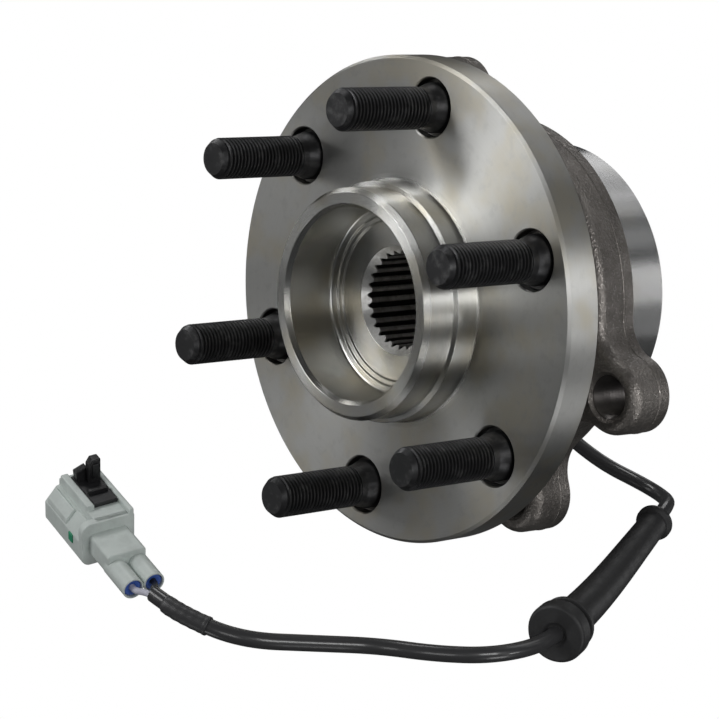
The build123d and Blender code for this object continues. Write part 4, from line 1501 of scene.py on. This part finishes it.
    def wires(self, route: Route) -> list[bpy.types.Object]:
        """The white and black wires from the jacket to the barrels.

        Args:
            route: the cable's route.
        Returns:
            Both wires.
        """
        end = route.points[-1]
        way = (route.points[-1] - route.points[-2]).normalized()
        axis = self.place.to_3x3()
        side = axis @ Vector((1.0, 0.0, 0.0))
        mating = axis @ Vector((0.0, 0.0, 1.0))
        spread = (side - way * side.dot(way)).normalized()
        made = []
        for name, sign, finish in (
            ("white", 1.0, Finishes.WHITE_WIRE),
            ("black", -1.0, Finishes.BLACK_WIRE),
        ):
            start = end + spread * sign
            mouth = self.place @ Vector((sign * self.HALF_PITCH, 0.0, 0.0))
            control = [
                start - way * 1.5,
                start - way * 0.5,
                start + way * 1.5,
                mouth - mating * 0.9,
                mouth + mating * 2.0,
                mouth + mating * 8.8,
            ]
            bend = Route(control).stretch(0, 4, 10)
            line = Line([control[0], *bend.points, control[-1]])
            form = Form().sweep(line, [(d, 0.9) for d in line.along], 24)
            made.append(
                form.piece(f"signal_wire_{name}", finish, self.BODY, [f"wire_{name}"], 50.0)
            )
        return made

    def build(self, route: Route) -> list[bpy.types.Object]:
        """Makes the connector and returns its pieces."""
        pieces = [self.housing(), self.clip(), self.retainer(), self.seals()]
        return pieces + self.wires(route)


# ---------------------------------------------------------------------------------------------
# Sensor and the pieces inside
# ---------------------------------------------------------------------------------------------
class Sensor:
    """The carrier cap and the sensor head at the inboard end."""

    BODY = Body.RING
    ANGLE = -135.0

    def carrier(self) -> bpy.types.Object:
        """The stamped cap."""
        profile = outline(
            [
                (40.5, 20.4, 0.1),
                (40.5, 22.02, 0.05),
                (42.1, 22.02, 0.1),
                (42.1, 22.98, 0.4),
                (32.3, 22.98, 0.3),
                (32.2, 25.3, 0.3),
                (31.3, 25.3, 0.3),
                (31.25, 22.0, 0.9),
                (39.5, 22.0, 0.2),
                (39.5, 20.4, 0.1),
            ]
        )
        form = Form().turn(profile, 192)
        window = Form()
        self.block(window, (33.1, 38.7), (-5.3, 5.3), (21.0, 24.0), 0.4, 0.0)
        form.cut(window)
        return form.piece("carrier_cap", Finishes.SHEET, self.BODY, ["sensor_carrier"], 30.0)

    def block(
        self, form: Form, out: Point2, across: Point2, along: Point2, corner: float, blend: float
    ) -> Form:
        """Adds a rounded block that points away from the axle at the sensor's angle.

        Args:
            form: the form to add it to.
            out: its range away from the axle.
            across: its range across that.
            along: its range of stations.
            corner: radius of the edges along the axle.
            blend: radius of the edges at both ends.
        Returns:
            The form.
        """
        part = Form().prism(rounded_box(out, across, corner, 5), along[0], along[1], blend, 4)
        stand = Matrix.Rotation(math.radians(-90.0), 4, "X")
        return form.take(part.mesh, about_axle(self.ANGLE) @ stand)

    def head(self) -> bpy.types.Object:
        """The moulded head with its nose and cable outlet."""
        form = Form()
        self.block(form, (32.6, 42.35), (-8.9, 8.9), (23.02, 33.4), 3.0, 1.4)
        self.block(form, (33.5, 38.3), (-4.9, 4.9), (20.95, 23.4), 0.5, 0.3)
        start = Vector(LEAD_ROUTE[0])
        way = (Vector(LEAD_ROUTE[1]) - start).normalized()
        outlet = Line([start - way * 12.0, start])
        marks = [(0.0, 3.8), (7.0, 3.55), (11.6, 3.3), (11.9, 3.15), (12.0, 2.9)]
        form.take(Form().sweep(outlet, marks, 40).mesh)
        return form.piece("sensor_body", Finishes.BLACK_PLASTIC, self.BODY, ["sensor_head"], 40.0)

    def build(self) -> None:
        """Makes the sensor's pieces."""
        self.carrier()
        self.head()


class Inside:
    """The frame's own solids that stay as they are, dressed in their finishes."""

    LOOKS: dict[str, Finish] = {
        "inner_ring": Finishes.BEARING,
        "balls_outboard": Finishes.BALL,
        "balls_inboard": Finishes.BALL,
        "cage_outboard": Finishes.CAGE,
        "cage_inboard": Finishes.CAGE,
        "outboard_seal_case": Finishes.SHEET,
        "outboard_seal_lip": Finishes.SEAL,
        "inboard_seal_case": Finishes.SHEET,
        "inboard_seal_lip": Finishes.SEAL,
        "slinger": Finishes.SHEET,
        "encoder_ring": Finishes.ENCODER,
        "connector_terminals": Finishes.TERMINAL,
    }

    def __init__(self, nodes: dict[str, bpy.types.Object]) -> None:
        """Args: nodes: the frame's nodes by name."""
        self.nodes = nodes

    def build(self) -> None:
        """Puts the finishes on."""
        for name, finish in self.LOOKS.items():
            node = self.nodes[name]
            node.data.materials.clear()
            node.data.materials.append(finish.material())


# ---------------------------------------------------------------------------------------------
# Studio
# ---------------------------------------------------------------------------------------------
@dataclass(frozen=True)
class SoftBox:
    """A square light that faces the object."""

    azimuth: float
    elevation: float
    power: float
    side: float = 0.26
    distance: float = 0.9

    def build(self, target: Vector) -> bpy.types.Object:
        """Hangs the light and turns it towards the target.

        Args:
            target: the point that it faces, in metres.
        Returns:
            The light.
        """
        name = f"light {self.azimuth:.0f} {self.elevation:.0f}"
        data = bpy.data.lights.new(name, "AREA")
        data.shape = "SQUARE"
        data.size = self.side
        data.energy = self.power
        made = bpy.data.objects.new(name, data)
        bpy.context.scene.collection.objects.link(made)
        a, e = math.radians(self.azimuth), math.radians(self.elevation)
        back = Vector((math.sin(a) * math.cos(e), -math.cos(a) * math.cos(e), math.sin(e)))
        made.location = target + back * self.distance
        made.rotation_mode = "QUATERNION"
        made.rotation_quaternion = (-back).to_track_quat("-Z", "Y")
        made.visible_camera = False
        return made


class Studio:
    """Camera, white surroundings and soft lights."""

    TARGET = Vector((0.0, -0.03, 0.0))
    ROOM_STRENGTH = 0.04
    LIGHTS: tuple[SoftBox, ...] = (
        SoftBox(-180.0, 60.0, 0.27),
        SoftBox(-150.0, 24.0, 0.29),
        SoftBox(-90.0, 24.0, 0.82),
        SoftBox(-90.0, 60.0, 1.04),
        SoftBox(-72.0, -7.0, 0.21),
        SoftBox(-45.0, -25.0, 0.09),
        SoftBox(-30.0, 0.0, 0.46),
        SoftBox(-30.0, 24.0, 1.26),
        SoftBox(-15.0, 24.0, 1.0),
        SoftBox(0.0, -50.0, 0.37),
        SoftBox(37.5, 8.0, 0.59),
        SoftBox(75.0, 24.0, 1.56),
        SoftBox(100.0, 4.0, 0.45, 0.12),
        SoftBox(90.0, -25.0, 0.8),
        SoftBox(135.0, 42.0, 0.13),
        SoftBox(150.0, 60.0, 0.25),
        SoftBox(157.5, 8.0, 0.4),
        SoftBox(162.0, -7.0, 0.2),
    )

    def camera(self) -> bpy.types.Object:
        """The camera, at three quarters from the right and a little above."""
        data = bpy.data.cameras.new("camera")
        data.lens = 126.34
        data.sensor_width = 36.0
        data.clip_start, data.clip_end = 0.05, 20.0
        made = bpy.data.objects.new("camera", data)
        bpy.context.scene.collection.objects.link(made)
        right = Vector((0.63227, 0.75696, 0.16511))
        up = Vector((-0.34148, 0.08101, 0.93640))
        back = Vector((0.69544, -0.64842, 0.30968))
        turn = Matrix((right, up, back)).transposed()
        made.rotation_mode = "QUATERNION"
        made.rotation_quaternion = turn.to_quaternion()
        made.location = Vector((0.50210, -0.52183, 0.20643))
        bpy.context.scene.camera = made
        return made

    def surroundings(self) -> None:
        """White to the camera, and a soft grey room to everything else."""
        world = bpy.data.worlds.new("studio")
        bpy.context.scene.world = world
        world.use_nodes = True
        graph = Graph(world.node_tree)
        seen = graph.node("Background")
        seen.inputs["Color"].default_value = (1.0, 1.0, 1.0, 1.0)
        seen.inputs["Strength"].default_value = 1.0
        room = graph.node("Background")
        room.inputs["Color"].default_value = (0.96, 0.98, 1.0, 1.0)
        room.inputs["Strength"].default_value = self.ROOM_STRENGTH
        mix = graph.node("MixShader")
        path = graph.node("LightPath")
        links = graph.tree.links
        links.new(path.outputs["Is Camera Ray"], mix.inputs[0])
        links.new(room.outputs[0], mix.inputs[1])
        links.new(seen.outputs[0], mix.inputs[2])
        links.new(mix.outputs[0], graph.node("OutputWorld").inputs["Surface"])

    def build(self) -> None:
        """Sets the whole studio up."""
        self.camera()
        self.surroundings()
        for light in self.LIGHTS:
            light.build(self.TARGET)
        bpy.context.scene.view_settings.view_transform = "Standard"


def main() -> None:
    """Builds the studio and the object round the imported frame."""
    logging.basicConfig(level=logging.INFO)
    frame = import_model()
    Studio().build()
    lead = Lead()
    cable, *on_cable = lead.build()
    connector = Connector()
    plug = connector.build(lead.route)
    Hub().build()
    OuterRing().build()
    Sensor().build()
    Inside(frame["nodes"]).build()


if __name__ == "__main__":
    main()
